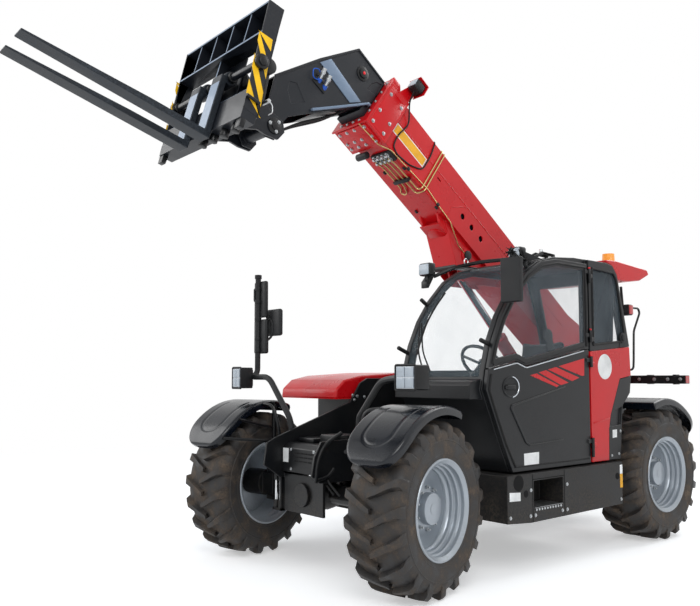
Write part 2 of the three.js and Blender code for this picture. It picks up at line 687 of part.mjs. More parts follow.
const pivotTube = (v, u, half, r, bore) => cut(
  rod([-half, -u, v], [half, -u, v], r, 20),
  rod([-half - 5, -u, v], [half + 5, -u, v], bore / Math.cos(Math.PI / 16), 16));
const boomSide = along([
  [-95, BOOM_BOTTOM + 120], [-60, BOOM_BOTTOM], [BOOM_LENGTH, BOOM_BOTTOM], [BOOM_LENGTH, BOOM_TOP],
  [560, BOOM_TOP], [330, -70], [110, 92], [40, 115], [-60, 110], [-115, 60],
]);
const collarU = BOOM_LENGTH + COLLAR_LENGTH;
const lug = along([
  [LIFT_EYE_U - 62, BOOM_BOTTOM + 2], [LIFT_EYE_U - 62, LIFT_EYE_V - 20], [LIFT_EYE_U - 35, LIFT_EYE_V - 50],
  [LIFT_EYE_U + 45, LIFT_EYE_V - 50], [LIFT_EYE_U + 110, LIFT_EYE_V], [2240, BOOM_BOTTOM + 2],
]);
const fairing = along([
  [1500, BOOM_BOTTOM + 2], [1850, -790], [2080, -775], [2420, BOOM_BOTTOM + 2],
]);
const fairingFront = along([
  [2420, BOOM_BOTTOM + 2], [2080, -775], [2075.4, -768.4], [2404, BOOM_BOTTOM + 2],
]);
const belly = along([
  [2140, BOOM_BOTTOM + 2], [2200, BOOM_BOTTOM - 62], [2420, BOOM_BOTTOM - 62], [2520, BOOM_BOTTOM + 2],
]);
const boomOuter = join(
  cut(
    join(
      sidePlate(boomSide, -BOOM_HALF_W, BOOM_HALF_W),
      rod([-towerInner + GAP, 0, 0], [towerInner - GAP, 0, 0], 78, 20),
      box(-COLLAR_HALF_W, COLLAR_HALF_W, -collarU, -BOOM_LENGTH + 150, -580, -104),
    ),
    box(-BOOM_HALF_W + BOOM_WALL, BOOM_HALF_W - BOOM_WALL, -BOOM_LENGTH, 200,
      BOOM_BOTTOM + BOOM_WALL, BOOM_TOP - BOOM_WALL),
    sidePlate(along([[-70, BOOM_TOP - 20], [-70, 60], [-30, 85], [60, 85], [300, -82], [300, BOOM_TOP - 20]]),
      -BOOM_HALF_W + 20, -100),
    sidePlate(along([[-70, BOOM_TOP - 20], [-70, 60], [-30, 85], [60, 85], [300, -82], [300, BOOM_TOP - 20]]),
      100, BOOM_HALF_W - 20),
    box(-INNER_HALF_W - 0.4, INNER_HALF_W + 0.4, -collarU - 5, -BOOM_LENGTH + 5,
      INNER_BOTTOM - 0.4, INNER_TOP + 0.4),
    rod([-towerInner - 5, 0, 0], [towerInner + 5, 0, 0], 45.4 / Math.cos(Math.PI / 16), 16),
  ),
  sidePlate(lug, 46, 68),
  sidePlate(lug, -68, -46),
  sidePlate(belly, 90, 112),
  sidePlate(belly, -112, -90),
  sidePlate(fairing, 118, 130),
  sidePlate(fairing, -130, -118),
  sidePlate(fairingFront, -119, 119),
  rod([-130, -2060, -765], [130, -2060, -765], 28, 12),
);
add('boom_outer', boomOuter, LOOK.red, boom);

const headOutline = along([
  [3600, INNER_TOP], [3955, -132], [4160, -508], [4358, -934], [4300, -1090],
  [CARRIAGE_U + 75, CARRIAGE_V - 50], [CARRIAGE_U, CARRIAGE_V - 90], [CARRIAGE_U - 75, CARRIAGE_V - 50],
  [4110, -1180], [4100, -1090], [3615, -412], [3600, -412],
]);
const headHollow = along([
  [3560, INNER_TOP - 12], [3948, -146], [4149, -514], [4346, -938], [4500, -1100],
  [4400, -1500], [3900, -1500], [3955, -860], [3640, -445], [3590, INNER_BOTTOM + 12],
  [3560, INNER_BOTTOM + 12],
]);
const boomInner = join(
  cut(
    join(
      box(-INNER_HALF_W, INNER_HALF_W, -3660, -250, INNER_BOTTOM, INNER_TOP),
      sidePlate(headOutline, -150, 150),
    ),
    box(-INNER_HALF_W + 10, INNER_HALF_W - 10, -3600, -200, INNER_BOTTOM + 10, INNER_TOP - 10),
    sidePlate(headHollow, -137, 137),
  ),
  cut(
    rod([-170 + GAP, -CARRIAGE_U, CARRIAGE_V], [170 - GAP, -CARRIAGE_U, CARRIAGE_V], 48, 16),
  ),
  rod([-140, -TILT_BASE_U, TILT_BASE_V], [140, -TILT_BASE_U, TILT_BASE_V], 22, 12),
);
add('boom_inner', boomInner, LOOK.black, boom);

// ---------------------------------------------------------------- fork carriage
// Inside the carriage's group -Y points along the forks and +Z up their shanks.
const carriage = new THREE.Group();
carriage.position.set(0, -CARRIAGE_U, CARRIAGE_V);
carriage.rotation.x = CARRIAGE_TILT * DEG;
boom.add(carriage);

const shaftF = 420;
const shaftV = 129;
const tiltPin = (TILT_ARM_ANGLE + CARRIAGE_TILT) * DEG;
const tiltF = TILT_ARM * Math.cos(tiltPin);
const tiltV = TILT_ARM * Math.sin(tiltPin);
const beamFront = 446.7;
const sideShape = along([[338, -226], [365, 575], [482, 575], [446, -200], [436, -217]]);
const ear = along([
  [345, 260], [345, -200], [120, -90], [40, -92], [-60, -75], [-95, 0], [-60, 70], [60, 92],
]);
const tiltLug = along([
  [345, 240], [345, 70], [tiltF + 20, tiltV - 45], [tiltF - 40, tiltV - 25],
  [tiltF - 42, tiltV + 25], [tiltF + 10, tiltV + 45],
]);
const both = (make) => [make(1), make(-1)];
const carriageShape = join(
  ...both((s) => sidePlate(sideShape, s * (CARRIAGE_HALF_W - 15), s * CARRIAGE_HALF_W)),
  box(-CARRIAGE_HALF_W + 1, CARRIAGE_HALF_W - 1, -beamFront, -338, -285, -75),
  box(-200, 200, -352, -338, -260, 345),
  box(-CARRIAGE_HALF_W + 1, CARRIAGE_HALF_W - 1, -478, -364, 561, 574),
  box(-CARRIAGE_HALF_W + 1, CARRIAGE_HALF_W - 1, -470, -356, 330, 343),
  box(-CARRIAGE_HALF_W + 1, CARRIAGE_HALF_W - 1, -370, -358, 331, 574),
  ...[-336, -112, 112, 336].map((x) => box(x - 5, x + 5, -472, -360, 340, 562)),
  box(-6, 6, -440, -351, -260, 335),
  rod([-CARRIAGE_HALF_W - 30, -shaftF, shaftV], [CARRIAGE_HALF_W + 30, -shaftF, shaftV], 25, 12),
  ...both((s) => sidePlate(ear, s * 170, s * 194)),
  ...both((s) => sidePlate(tiltLug, s * 32, s * 52)),
);
const carriageSolid = cut(carriageShape,
  ...both((s) => rod([s * 100, 0, 0], [s * 168, 0, 0], 30, 12)));
add('carriage', carriageSolid, LOOK.black, carriage);

function fork(x) {
  const heel = -345;
  const tip = 470 + FORK_LENGTH;
  const shape = along([
    [beamFront + GAP, heel], [tip, heel + 6], [tip, heel + 18], [900, heel + 45], [beamFront + 48, heel + 47],
    [beamFront + 48, shaftV], [beamFront + GAP, shaftV],
  ]);
  const eye = rod([x - FORK_W / 2, -shaftF, shaftV], [x + FORK_W / 2, -shaftF, shaftV], 50, 16);
  const bore = rod([x - FORK_W, -shaftF, shaftV], [x + FORK_W, -shaftF, shaftV],
    25.4 / Math.cos(Math.PI / 12) + 0.3, 12);
  return cut(join(sidePlate(shape, x - FORK_W / 2, x + FORK_W / 2), eye), bore);
}
add('fork_left', fork(FORK_X), LOOK.black, carriage);
add('fork_right', fork(-FORK_X), LOOK.black, carriage);

// ---------------------------------------------------------------- cylinders
// A cylinder's group has its base eye at its origin and runs along -Y.
function cylinder(tag, parent, base, aim, angleX, size) {
  const group = new THREE.Group();
  group.position.set(...base);
  group.rotation.x = angleX;
  parent.add(group);
  const { barrelR, rodR, barrelLength, rodLength, half, eyeR, pinR } = size;
  const barrel = cut(
    join(
      rod([-half, 0, 0], [half, 0, 0], eyeR, 16),
      rod([0, -eyeR * 0.6, 0], [0, -barrelLength, 0], barrelR, 16),
      rod([0, -barrelLength + 50, 0], [0, -barrelLength, 0], barrelR * 1.12, 16),
    ),
    rod([0, -eyeR - 22, 0], [0, -barrelLength + 45, 0], rodR + 9, 16),
    rod([0, -barrelLength + 46, 0], [0, -barrelLength - 5, 0], (rodR + GAP * 1.1), 16),
    rod([0, -barrelLength + 60, 0], [0, -barrelLength + 40, 0], (rodR + GAP * 1.1), 16),
    rod([-half - 5, 0, 0], [half + 5, 0, 0], (pinR + 0.4) / Math.cos(Math.PI / 12), 12),
  );
  const ram = join(
    rod([0, -aim + rodLength, 0], [0, -aim + eyeR * 0.6, 0], rodR, 16),
    rod([-half, -aim, 0], [half, -aim, 0], eyeR * 0.9, 16),
  );
  add(`${tag}_barrel`, barrel, LOOK.red, group);
  add(`${tag}_rod`, ram, LOOK.chrome, group);
}

// Where a point of the boom (u along, v up) stands in the machine's frame.
function onBoom(u, v) {
  const a = BOOM_ANGLE * DEG;
  return [
    BOOM_PIVOT_Y - u * Math.cos(a) + v * Math.sin(a),
    BOOM_PIVOT_Z + u * Math.sin(a) + v * Math.cos(a),
  ];
}
const [eyeY, eyeZ] = onBoom(LIFT_EYE_U, LIFT_EYE_V);
const liftAim = Math.hypot(eyeY - LIFT_BASE_Y, eyeZ - LIFT_BASE_Z);
cylinder('lift', machine, [0, LIFT_BASE_Y, LIFT_BASE_Z], liftAim,
  -Math.atan2(eyeZ - LIFT_BASE_Z, LIFT_BASE_Y - eyeY),
  { barrelR: 62, rodR: 36, barrelLength: LIFT_BARREL, rodLength: LIFT_ROD, half: 44, eyeR: 50, pinR: 30 });

const pinU = CARRIAGE_U + TILT_ARM * Math.cos(TILT_ARM_ANGLE * DEG);
const pinV = CARRIAGE_V + TILT_ARM * Math.sin(TILT_ARM_ANGLE * DEG);
const tiltAim = Math.hypot(pinU - TILT_BASE_U, pinV - TILT_BASE_V);
cylinder('tilt', boom, [0, -TILT_BASE_U, TILT_BASE_V], tiltAim,
  -Math.atan2(pinV - TILT_BASE_V, pinU - TILT_BASE_U),
  { barrelR: 45, rodR: 25, barrelLength: TILT_BARREL, rodLength: TILT_ROD, half: 31, eyeR: 38, pinR: 22 });

// ---------------------------------------------------------------- origin
// The origin is the middle of the machine's box on the ground.
machine.updateMatrixWorld(true);
const bounds = new THREE.Box3().setFromObject(machine, true);
const middle = bounds.getCenter(new THREE.Vector3());
machine.position.set(-middle.x, -middle.y, -bounds.min.z);
machine.updateMatrixWorld(true);

export default machine;
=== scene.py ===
import math
from functools import partial

import bpy
from mathutils import Matrix, Vector


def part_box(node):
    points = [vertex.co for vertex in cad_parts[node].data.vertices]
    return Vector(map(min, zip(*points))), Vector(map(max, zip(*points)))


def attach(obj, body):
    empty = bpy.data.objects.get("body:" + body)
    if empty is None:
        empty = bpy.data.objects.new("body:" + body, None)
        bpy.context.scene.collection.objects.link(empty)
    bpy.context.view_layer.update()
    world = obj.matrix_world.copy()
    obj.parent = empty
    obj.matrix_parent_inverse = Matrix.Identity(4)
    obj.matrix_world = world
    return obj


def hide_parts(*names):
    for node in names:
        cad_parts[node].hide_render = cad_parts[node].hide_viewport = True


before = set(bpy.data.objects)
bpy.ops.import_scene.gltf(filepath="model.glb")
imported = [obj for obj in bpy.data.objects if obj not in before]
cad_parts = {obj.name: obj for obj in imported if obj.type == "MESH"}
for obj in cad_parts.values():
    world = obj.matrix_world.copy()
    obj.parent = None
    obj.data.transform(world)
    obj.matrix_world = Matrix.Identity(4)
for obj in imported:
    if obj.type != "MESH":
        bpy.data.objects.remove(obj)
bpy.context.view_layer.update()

axle_low, axle_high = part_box("front_axle")
MACHINE = Matrix.Translation(((axle_low.x + axle_high.x) / 2, (axle_low.y + axle_high.y) / 2, 0))
FORWARD_LEFT_UP = Matrix(((0, 1, 0, 0), (-1, 0, 0, 0), (0, 0, 1, 0), (0, 0, 0, 1)))

BOOM_ANGLE = math.radians(35.6)
CARRIAGE_TURN = math.radians(18.6)
STEER = math.radians(12.1)
PIVOT = (0, 3.5, 1.84)
CARRIAGE_PIN = (4.158, -1.274)
WHEELBASE = 3.026
KINGPIN_X = 0.68
WHEEL_OUT = 0.2505
AXLE_Z = 0.58
SIDES = (1, -1)

BOOM = MACHINE @ Matrix.Translation(PIVOT) @ Matrix.Rotation(-BOOM_ANGLE, 4, "X") @ FORWARD_LEFT_UP
CARRIAGE = BOOM @ Matrix.Translation((CARRIAGE_PIN[0], 0, CARRIAGE_PIN[1])) @ Matrix.Rotation(
    CARRIAGE_TURN, 4, "Y")
CORNERS = {
    "fl": (1, 0, STEER), "fr": (-1, 0, STEER),
    "rl": (1, WHEELBASE, 0), "rr": (-1, WHEELBASE, 0),
}


def knuckle_place(tag):
    """At the kingpin, in the axle's height: X, Y, Z as the machine's, turned with the wheel."""
    side, y, steer = CORNERS[tag]
    return MACHINE @ Matrix.Translation((side * KINGPIN_X, y, AXLE_Z)) @ Matrix.Rotation(steer, 4, "Z")


def wheel_place(tag):
    """At the wheel's centre, with X pointing out of the machine."""
    side = CORNERS[tag][0]
    turn = Matrix.Rotation(0 if side > 0 else math.pi, 4, "Z")
    return knuckle_place(tag) @ Matrix.Translation((side * WHEEL_OUT, 0, 0)) @ turn


# ---------------------------------------------------------------- materials
def linear(hex_colour, factor=1.0):
    """An sRGB hex colour as linear RGBA, made darker or lighter by a factor."""
    parts = [int(hex_colour[i:i + 2], 16) / 255 for i in (1, 3, 5)]
    return [factor * (c / 12.92 if c <= 0.04045 else ((c + 0.055) / 1.055) ** 2.4) for c in parts] + [1]


def add_node(tree, kind, settings=None, links=None):
    """Adds a shader node; settings are attributes or inputs, links are input: (node, output)."""
    node = tree.nodes.new("ShaderNode" + kind)
    for name, value in (settings or {}).items():
        if isinstance(name, str) and hasattr(node, name):
            setattr(node, name, value)
        else:
            node.inputs[name].default_value = value
    for name, (source, output) in (links or {}).items():
        tree.links.new(source.outputs[output], node.inputs[name])
    return node


def new_material(name):
    """A material, its emptied tree and the node of its object coordinates."""
    material = bpy.data.materials.new(name)
    material.use_nodes = True
    tree = material.node_tree
    tree.nodes.clear()
    return material, tree, add_node(tree, "TexCoord")


def texture(tree, place, kind, settings):
    return add_node(tree, "Tex" + kind, settings, {"Vector": (place, "Object")})


def noise(tree, place, scale, detail, roughness=0.5):
    return texture(tree, place, "Noise", {"Scale": scale, "Detail": detail, "Roughness": roughness})


def spread(tree, source, output, low, high, to_low=0.0, to_high=1.0):
    """A value that runs from low to high, spread over another range."""
    limits = {"From Min": low, "From Max": high, "To Min": to_low, "To Max": to_high}
    return add_node(tree, "MapRange", limits, {"Value": (source, output)})


def ramp(tree, source, output, stops):
    """A colour ramp over stops of (position, colour)."""
    node = add_node(tree, "ValToRGB", links={"Fac": (source, output)})
    elements = node.color_ramp.elements
    while len(elements) < len(stops):
        elements.new(0.5)
    for element, (position, colour) in zip(elements, stops):
        element.position = position
        element.color = colour
    return node


def bumps(tree, source, output, strength, height):
    return add_node(tree, "Bump", {"Strength": strength, "Distance": height}, {"Height": (source, output)})


def finish_surface(tree, settings, links):
    shader = add_node(tree, "BsdfPrincipled", settings, links)
    add_node(tree, "OutputMaterial", links={"Surface": (shader, "BSDF")})


def paint(name, colour, dusty, roughness, coat, peel=0.05, metallic=0.0, dust_height=0.9):
    """Sprayed and baked enamel: a faint orange peel about 4 mm across, cloudy wear in the
    gloss, and road dust that thins out with height."""
    material, tree, place = new_material(name)
    clouds = noise(tree, place, 3.5, 6.0, 0.6)
    grit = noise(tree, place, 60.0, 5.0, 0.7)
    peel_noise = noise(tree, place, 250.0, 1.0)
    xyz = add_node(tree, "SeparateXYZ", links={"Vector": (place, "Object")})
    fade = spread(tree, xyz, "Z", 0.3, dust_height, 0.55, 0.06)
    speck = spread(tree, grit, "Fac", 0.42, 0.68)
    patches = spread(tree, clouds, "Fac", 0.35, 0.7)
    both = add_node(tree, "Math", {"operation": "MULTIPLY"}, {0: (speck, "Result"), 1: (patches, "Result")})
    amount = add_node(tree, "Math", {"operation": "MULTIPLY", "use_clamp": True},
                      {0: (both, "Value"), 1: (fade, "Result")})
    tint = ramp(tree, clouds, "Fac", [(0.3, linear(colour, 0.9)), (0.7, linear(colour))])
    colour_mix = add_node(tree, "Mix", {"data_type": "RGBA", 7: linear(dusty)},
                          {0: (amount, "Value"), 6: (tint, "Color")})
    rough = spread(tree, clouds, "Fac", 0.3, 0.75, roughness, min(roughness + 0.14, 1))
    dull = add_node(tree, "Math", {"operation": "MULTIPLY_ADD", 1: 0.5, "use_clamp": True},
                    {0: (amount, "Value"), 2: (rough, "Result")})
    bump = bumps(tree, peel_noise, "Fac", peel, 0.0006)
    finish_surface(tree, {"Metallic": metallic, "Coat Weight": coat, "Coat Roughness": 0.06, "IOR": 1.5,
                          "Specular IOR Level": 0.3},
                   {"Base Color": (colour_mix, 2), "Roughness": (dull, "Value"), "Normal": (bump, "Normal")})
    return material


def moulded_plastic(name, colour, roughness, grain_mm, coat=0.0, strength=0.25):
    """Moulded ABS or polypropylene: a fine leathery grain from the tool, and a soft sheen."""
    material, tree, place = new_material(name)
    grain = texture(tree, place, "Voronoi", {"Scale": 1000 / grain_mm / 3})
    clouds = noise(tree, place, 6.0, 5.0)
    tint = ramp(tree, clouds, "Fac", [(0.3, linear(colour, 0.8)), (0.75, linear(colour, 1.25))])
    rough = spread(tree, clouds, "Fac", 0.3, 0.7, roughness, roughness + 0.15)
    bump = bumps(tree, grain, "Distance", strength, 0.0004)
    finish_surface(tree, {"IOR": 1.5, "Specular IOR Level": 0.35, "Coat Weight": coat,
                          "Coat Roughness": 0.08},
                   {"Base Color": (tint, "Color"), "Roughness": (rough, "Result"),
                    "Normal": (bump, "Normal")})
    return material


def bare_metal(name, colour, roughness, streak=(1, 1, 40)):
    """Turned or drawn metal: fine marks along the way it was worked."""
    material, tree, place = new_material(name)
    stretch = add_node(tree, "Mapping", {"Scale": streak}, {"Vector": (place, "Object")})
    marks = add_node(tree, "TexNoise", {"Scale": 30.0, "Detail": 6.0, "Roughness": 0.65},
                     {"Vector": (stretch, "Vector")})
    tint = ramp(tree, marks, "Fac", [(0.3, linear(colour, 0.86)), (0.7, linear(colour))])
    rough = spread(tree, marks, "Fac", 0.3, 0.7, roughness, roughness + 0.12)
    bump = bumps(tree, marks, "Fac", 0.06, 0.0004)
    finish_surface(tree, {"Metallic": 1.0},
                   {"Base Color": (tint, "Color"), "Roughness": (rough, "Result"),
                    "Normal": (bump, "Normal")})
    return material


def tyre_rubber():
    """Black tread rubber, scuffed brown with dried soil between and on its lugs."""
    material, tree, place = new_material("tread_rubber")
    soil = noise(tree, place, 7.0, 8.0, 0.68)
    crumbs = noise(tree, place, 90.0, 6.0, 0.75)
    amount = add_node(tree, "Math", {"operation": "MULTIPLY_ADD", 1: 0.35},
                      {0: (crumbs, "Fac"), 2: (soil, "Fac")})
    colour = ramp(tree, amount, "Value", [
        (0.56, linear("#1B1A1B")), (0.68, linear("#2E2925")), (0.8, linear("#4F443A")),
        (0.95, linear("#7A6A58"))])
    rough = spread(tree, amount, "Value", 0.55, 0.85, 0.5, 0.95)
    bump = bumps(tree, crumbs, "Fac", 0.5, 0.002)
    finish_surface(tree, {"IOR": 1.52}, {"Base Color": (colour, "Color"), "Roughness": (rough, "Result"),
                                         "Normal": (bump, "Normal")})
    return material


def cab_glass(name, colour, roughness, dust):
    """Toughened safety glass: a faint tint, a film of dust and a Fresnel shine. It is a
    thin clear sheet, so light goes straight through it."""
    material, tree, place = new_material(name)
    film = noise(tree, place, 2.6, 6.0, 0.6)
    haze = spread(tree, film, "Fac", 0.35, 0.75, dust, dust * 2.4)
    rough = spread(tree, film, "Fac", 0.3, 0.8, roughness, roughness + 0.06)
    finish_surface(tree, {"Base Color": linear(colour), "IOR": 1.5, "Specular IOR Level": 0.6},
                   {"Roughness": (rough, "Result"), "Alpha": (haze, "Result")})
    return material


def ribs(tree, place, scale, distortion, way):
    return texture(tree, place, "Wave", {"Scale": scale, "Distortion": distortion, "bands_direction": way})


def seat_cloth():
    """Woven polyester seat cloth, its ribs about 4 mm apart."""
    material, tree, place = new_material("woven_polyester")
    rib, cross = (ribs(tree, place, 120.0, 0.6, way) for way in "XZ")
    weave = add_node(tree, "Math", {"operation": "MULTIPLY"}, {0: (rib, "Fac"), 1: (cross, "Fac")})
    colour = ramp(tree, weave, "Value", [(0.1, linear("#17181A")), (0.8, linear("#3A3D42"))])
    bump = bumps(tree, weave, "Value", 0.5, 0.001)
    finish_surface(tree, {"Roughness": 0.9, "Sheen Weight": 0.3},
                   {"Base Color": (colour, "Color"), "Normal": (bump, "Normal")})
    return material


def lens(name, colour, glow=0.0):
    """A ribbed polycarbonate lens, its flutes about 9 mm apart."""
    material, tree, place = new_material(name)
    flute = ribs(tree, place, 55.0, 0.0, "X")
    tint = ramp(tree, flute, "Fac", [(0.2, linear(colour, 0.75)), (0.8, linear(colour))])
    bump = bumps(tree, flute, "Fac", 0.5, 0.002)
    finish_surface(tree, {"Roughness": 0.08, "IOR": 1.58, "Coat Weight": 0.5,
                          "Emission Color": linear(colour), "Emission Strength": glow},
                   {"Base Color": (tint, "Color"), "Normal": (bump, "Normal")})
    return material


def vinyl(name, colour, roughness=0.35):
    """Printed vinyl film: even colour with faint scuffs."""
    return moulded_plastic(name, colour, roughness, 1.5, strength=0.05)


SOIL = "#6E6253"
MATERIAL = {
    "red": paint("red_enamel", "#CE0F18", "#9A3F38", 0.24, 0.12, dust_height=0.6),
    "black": paint("black_chassis_enamel", "#0D0F12", SOIL, 0.32, 0.06, dust_height=0.7),
    "head": paint("blue_black_enamel", "#14181F", SOIL, 0.3, 0.08, dust_height=0.6),
    "charcoal": paint("charcoal_cab_enamel", "#141619", SOIL, 0.34, 0.04, dust_height=0.6),
    "skirt": paint("textured_charcoal_enamel", "#1A1A1B", SOIL, 0.48, 0.05, peel=0.2),
    "silver": paint("silver_rim_enamel", "#A7AEB5", "#8B8375", 0.3, 0.1, metallic=0.5, dust_height=0.5),
    "fork": paint("worn_fork_enamel", "#1D2228", "#59616B", 0.38, 0.05, dust_height=9.0, metallic=0.2),
    "fender": moulded_plastic("gloss_black_abs", "#0A0F17", 0.18, 2.0, coat=0.12, strength=0.03),
    "plastic": moulded_plastic("grained_black_polypropylene", "#17181A", 0.5, 1.2),
    "rubber": moulded_plastic("black_epdm_rubber", "#111112", 0.6, 0.8, strength=0.15),
    "tyre": tyre_rubber(),
    "chrome": bare_metal("hard_chrome_rod", "#D9DBDD", 0.08, (1, 30, 1)),
    "zinc": bare_metal("zinc_plated_steel", "#B9BCBE", 0.3),
    "pipe": bare_metal("yellow_zinc_pipe", "#C9B27A", 0.3),
    # Bright steel; on the door handle it serves as a painted glint.
    "steel": bare_metal("polished_steel_and_painted_glint", "#C7CCD2", 0.25),
    # A pale blue-grey with paler patches that stands for the sky's reflection: a painted highlight on edges
    # and faces turned to the light.
    "sky": paint("painted_sky_highlight_enamel", "#74869C", "#8D99A8", 0.3, 0.2, dust_height=9.0, metallic=0.25),
    "iron": paint("engine_grey_enamel", "#3A3D40", "#4A4136", 0.55, 0.0, peel=0.2, dust_height=1.6),
    "glass": cab_glass("tinted_safety_glass", "#BFD8E4", 0.03, 0.035),
    "dark_glass": cab_glass("grey_roof_glass", "#7E8B94", 0.04, 0.09),
    "mirror": bare_metal("silvered_mirror", "#E6E9EB", 0.03),
    "cloth": seat_cloth(),
    "clear": lens("clear_polycarbonate", "#B9C4CE", 0.0),
    "ruby": lens("red_polycarbonate", "#C4131C", 0.1),
    "amber": lens("amber_polycarbonate", "#F5A01A", 0.35),
    "stripe": vinyl("yellow_vinyl", "#F2BE1B"),
    "label": vinyl("amber_label_vinyl", "#E9A921"),
    "white": vinyl("white_vinyl", "#EDEDEB"),
    "red_vinyl": vinyl("red_reflective_vinyl", "#E0222B", 0.25),
    # Near black for holes, slots and gaps: painted shadow, a dark sheet where the real thing has only shade.
    "shadow": moulded_plastic("painted_shadow_black", "#050506", 0.9, 3.0, strength=0.0),
    "blue": moulded_plastic("blue_cap_plastic", "#1E55B8", 0.35, 1.5),
}


# ---------------------------------------------------------------- making pieces
def deselect():
    bpy.ops.object.select_all(action="DESELECT")


def use(piece):
    deselect()
    piece.select_set(True)
    bpy.context.view_layer.objects.active = piece


def modified(piece, kind, **settings):
    """Adds a modifier with its settings and applies it."""
    modifier = piece.modifiers.new(kind.lower(), kind)
    for name, value in settings.items():
        setattr(modifier, name, value)
    use(piece)
    bpy.ops.object.modifier_apply(modifier=modifier.name)
    return piece


def in_edit(piece, *steps):
    """Runs edit-mode operators on the whole of a piece."""
    use(piece)
    bpy.ops.object.mode_set(mode="EDIT")
    bpy.ops.mesh.select_all(action="SELECT")
    for step in steps:
        step()
    bpy.ops.object.mode_set(mode="OBJECT")


def face_out():
    """Merges the whole piece's doubles and turns its faces outwards."""
    bpy.ops.mesh.select_all(action="SELECT")
    bpy.ops.mesh.remove_doubles(threshold=0.00002)
    bpy.ops.mesh.normals_make_consistent(inside=False)


def outline(points, filled=True):
    """A closed outline through the points, from a circle with one corner for each."""
    deselect()
    bpy.ops.mesh.primitive_circle_add(vertices=len(points), fill_type="NGON" if filled else "NOTHING")
    piece = bpy.context.object
    for vertex, point in zip(piece.data.vertices, points):
        vertex.co = point
    return piece


def plate(points, way):
    """A flat outline given thickness along a way."""
    piece = outline(points)
    in_edit(piece, lambda: bpy.ops.mesh.extrude_region_move(TRANSFORM_OT_translate={"value": way}), face_out)
    return piece


def side_plate(points, x0, x1):
    """An outline drawn in Y and Z, thick along X."""
    return plate([(x0, y, z) for y, z in points], (x1 - x0, 0, 0))


def block(low, high):
    """A box from two corners: a square drawn out to its height."""
    return plate([(low[0], low[1], low[2]), (high[0], low[1], low[2]), (high[0], high[1], low[2]),
                  (low[0], high[1], low[2])], (0, 0, high[2] - low[2]))


def turned(profile, steps=48):
    """A profile of (radius, along) swept about the X axis."""
    piece = outline([(along, 0, radius) for radius, along in profile], filled=False)
    in_edit(piece,
            lambda: bpy.ops.mesh.spin(steps=steps, angle=2 * math.pi, center=(0, 0, 0), axis=(1, 0, 0)),
            face_out)
    return piece


def rounded_path(points, radius, steps=5):
    """The same way with each corner rounded."""
    points = [Vector(p) for p in points]
    path = [points[0]]
    for before, corner, after in zip(points, points[1:], points[2:]):
        back = min(radius, (before - corner).length * 0.45, (after - corner).length * 0.45)
        start = corner + (before - corner).normalized() * back
        end = corner + (after - corner).normalized() * back
        for i in range(steps + 1):
            t = i / steps
            path.append(start * (1 - t) ** 2 + corner * 2 * t * (1 - t) + end * t * t)
    return path + [points[-1]]


def tube(points, radius, bend=0.0):
    """A round tube or rod along a way, closed at its ends."""
    path = rounded_path(points, bend) if bend else [Vector(p) for p in points]
    deselect()
    bpy.ops.curve.primitive_nurbs_path_add()
    curve = bpy.context.object
    curve.data.splines.clear()
    spline = curve.data.splines.new("POLY")
    spline.points.add(len(path) - 1)
    for point, place in zip(spline.points, path):
        point.co = (*place, 1)
    curve.data.bevel_depth = radius
    curve.data.bevel_resolution = 3
    curve.data.use_fill_caps = True
    curve.data.use_path = False
    use(curve)
    bpy.ops.object.convert(target="MESH")
    piece = bpy.context.object
    in_edit(piece, face_out)
    return piece


def rod(start, end, radius, chamfer=0.0, sides=24):
    """A short pin or boss with broken edges."""
    start, end = Vector(start), Vector(end)
    deselect()
    bpy.ops.mesh.primitive_cylinder_add(vertices=sides, radius=radius, depth=(end - start).length)
    piece = bpy.context.object
    turn = Vector((0, 0, 1)).rotation_difference(end - start).to_matrix().to_4x4()
    piece.data.transform(Matrix.Translation((start + end) / 2) @ turn)
    if chamfer:
        round_edges(piece, chamfer)
    return piece


def round_edges(piece, width, segments=2):
    return modified(piece, "BEVEL", width=width, segments=segments, limit_method="ANGLE",
                    angle_limit=math.radians(35), use_clamp_overlap=True)


def joined(*pieces):
    """Several loose shapes as one object."""
    deselect()
    for piece in pieces:
        piece.select_set(True)
    bpy.context.view_layer.objects.active = pieces[0]
    bpy.ops.object.join()
    return bpy.context.object


def twin(piece):
    """A copy with a mesh of its own."""
    copy = piece.copy()
    copy.data = piece.data.copy()
    bpy.context.scene.collection.objects.link(copy)
    return copy


def copied(piece, *places):
    """The piece once at each place (a matrix), joined."""
    copies = []
    for place in places:
        copy = twin(piece)
        copy.data.transform(place)
        copies.append(copy)
    bpy.data.objects.remove(piece)
    return joined(*copies)


def shift(x, y, z):
    return Matrix.Translation((x, y, z))


def cut_out(piece, tool):
    """Takes the tool's shape out of the piece."""
    modified(piece, "BOOLEAN", operation="DIFFERENCE", solver="EXACT", object=tool)
    bpy.data.objects.remove(tool)
    return piece


def put(piece, name, material, smooth=35, body="chassis", place=MACHINE, replaces=(), slot=None):
    """Names a piece, lays it in place and makes it ride on its body."""
    piece.name = name
    piece.data.name = name
    piece.data.transform(place)
    piece.matrix_world = Matrix.Identity(4)
    piece.data.materials.clear()
    piece.data.materials.append(MATERIAL[material])
    for polygon in piece.data.polygons:
        polygon.material_index = 0
    use(piece)
    if smooth:
        bpy.ops.object.shade_smooth_by_angle(angle=math.radians(smooth))
    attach(piece, body)
    if replaces:
        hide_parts(*replaces)


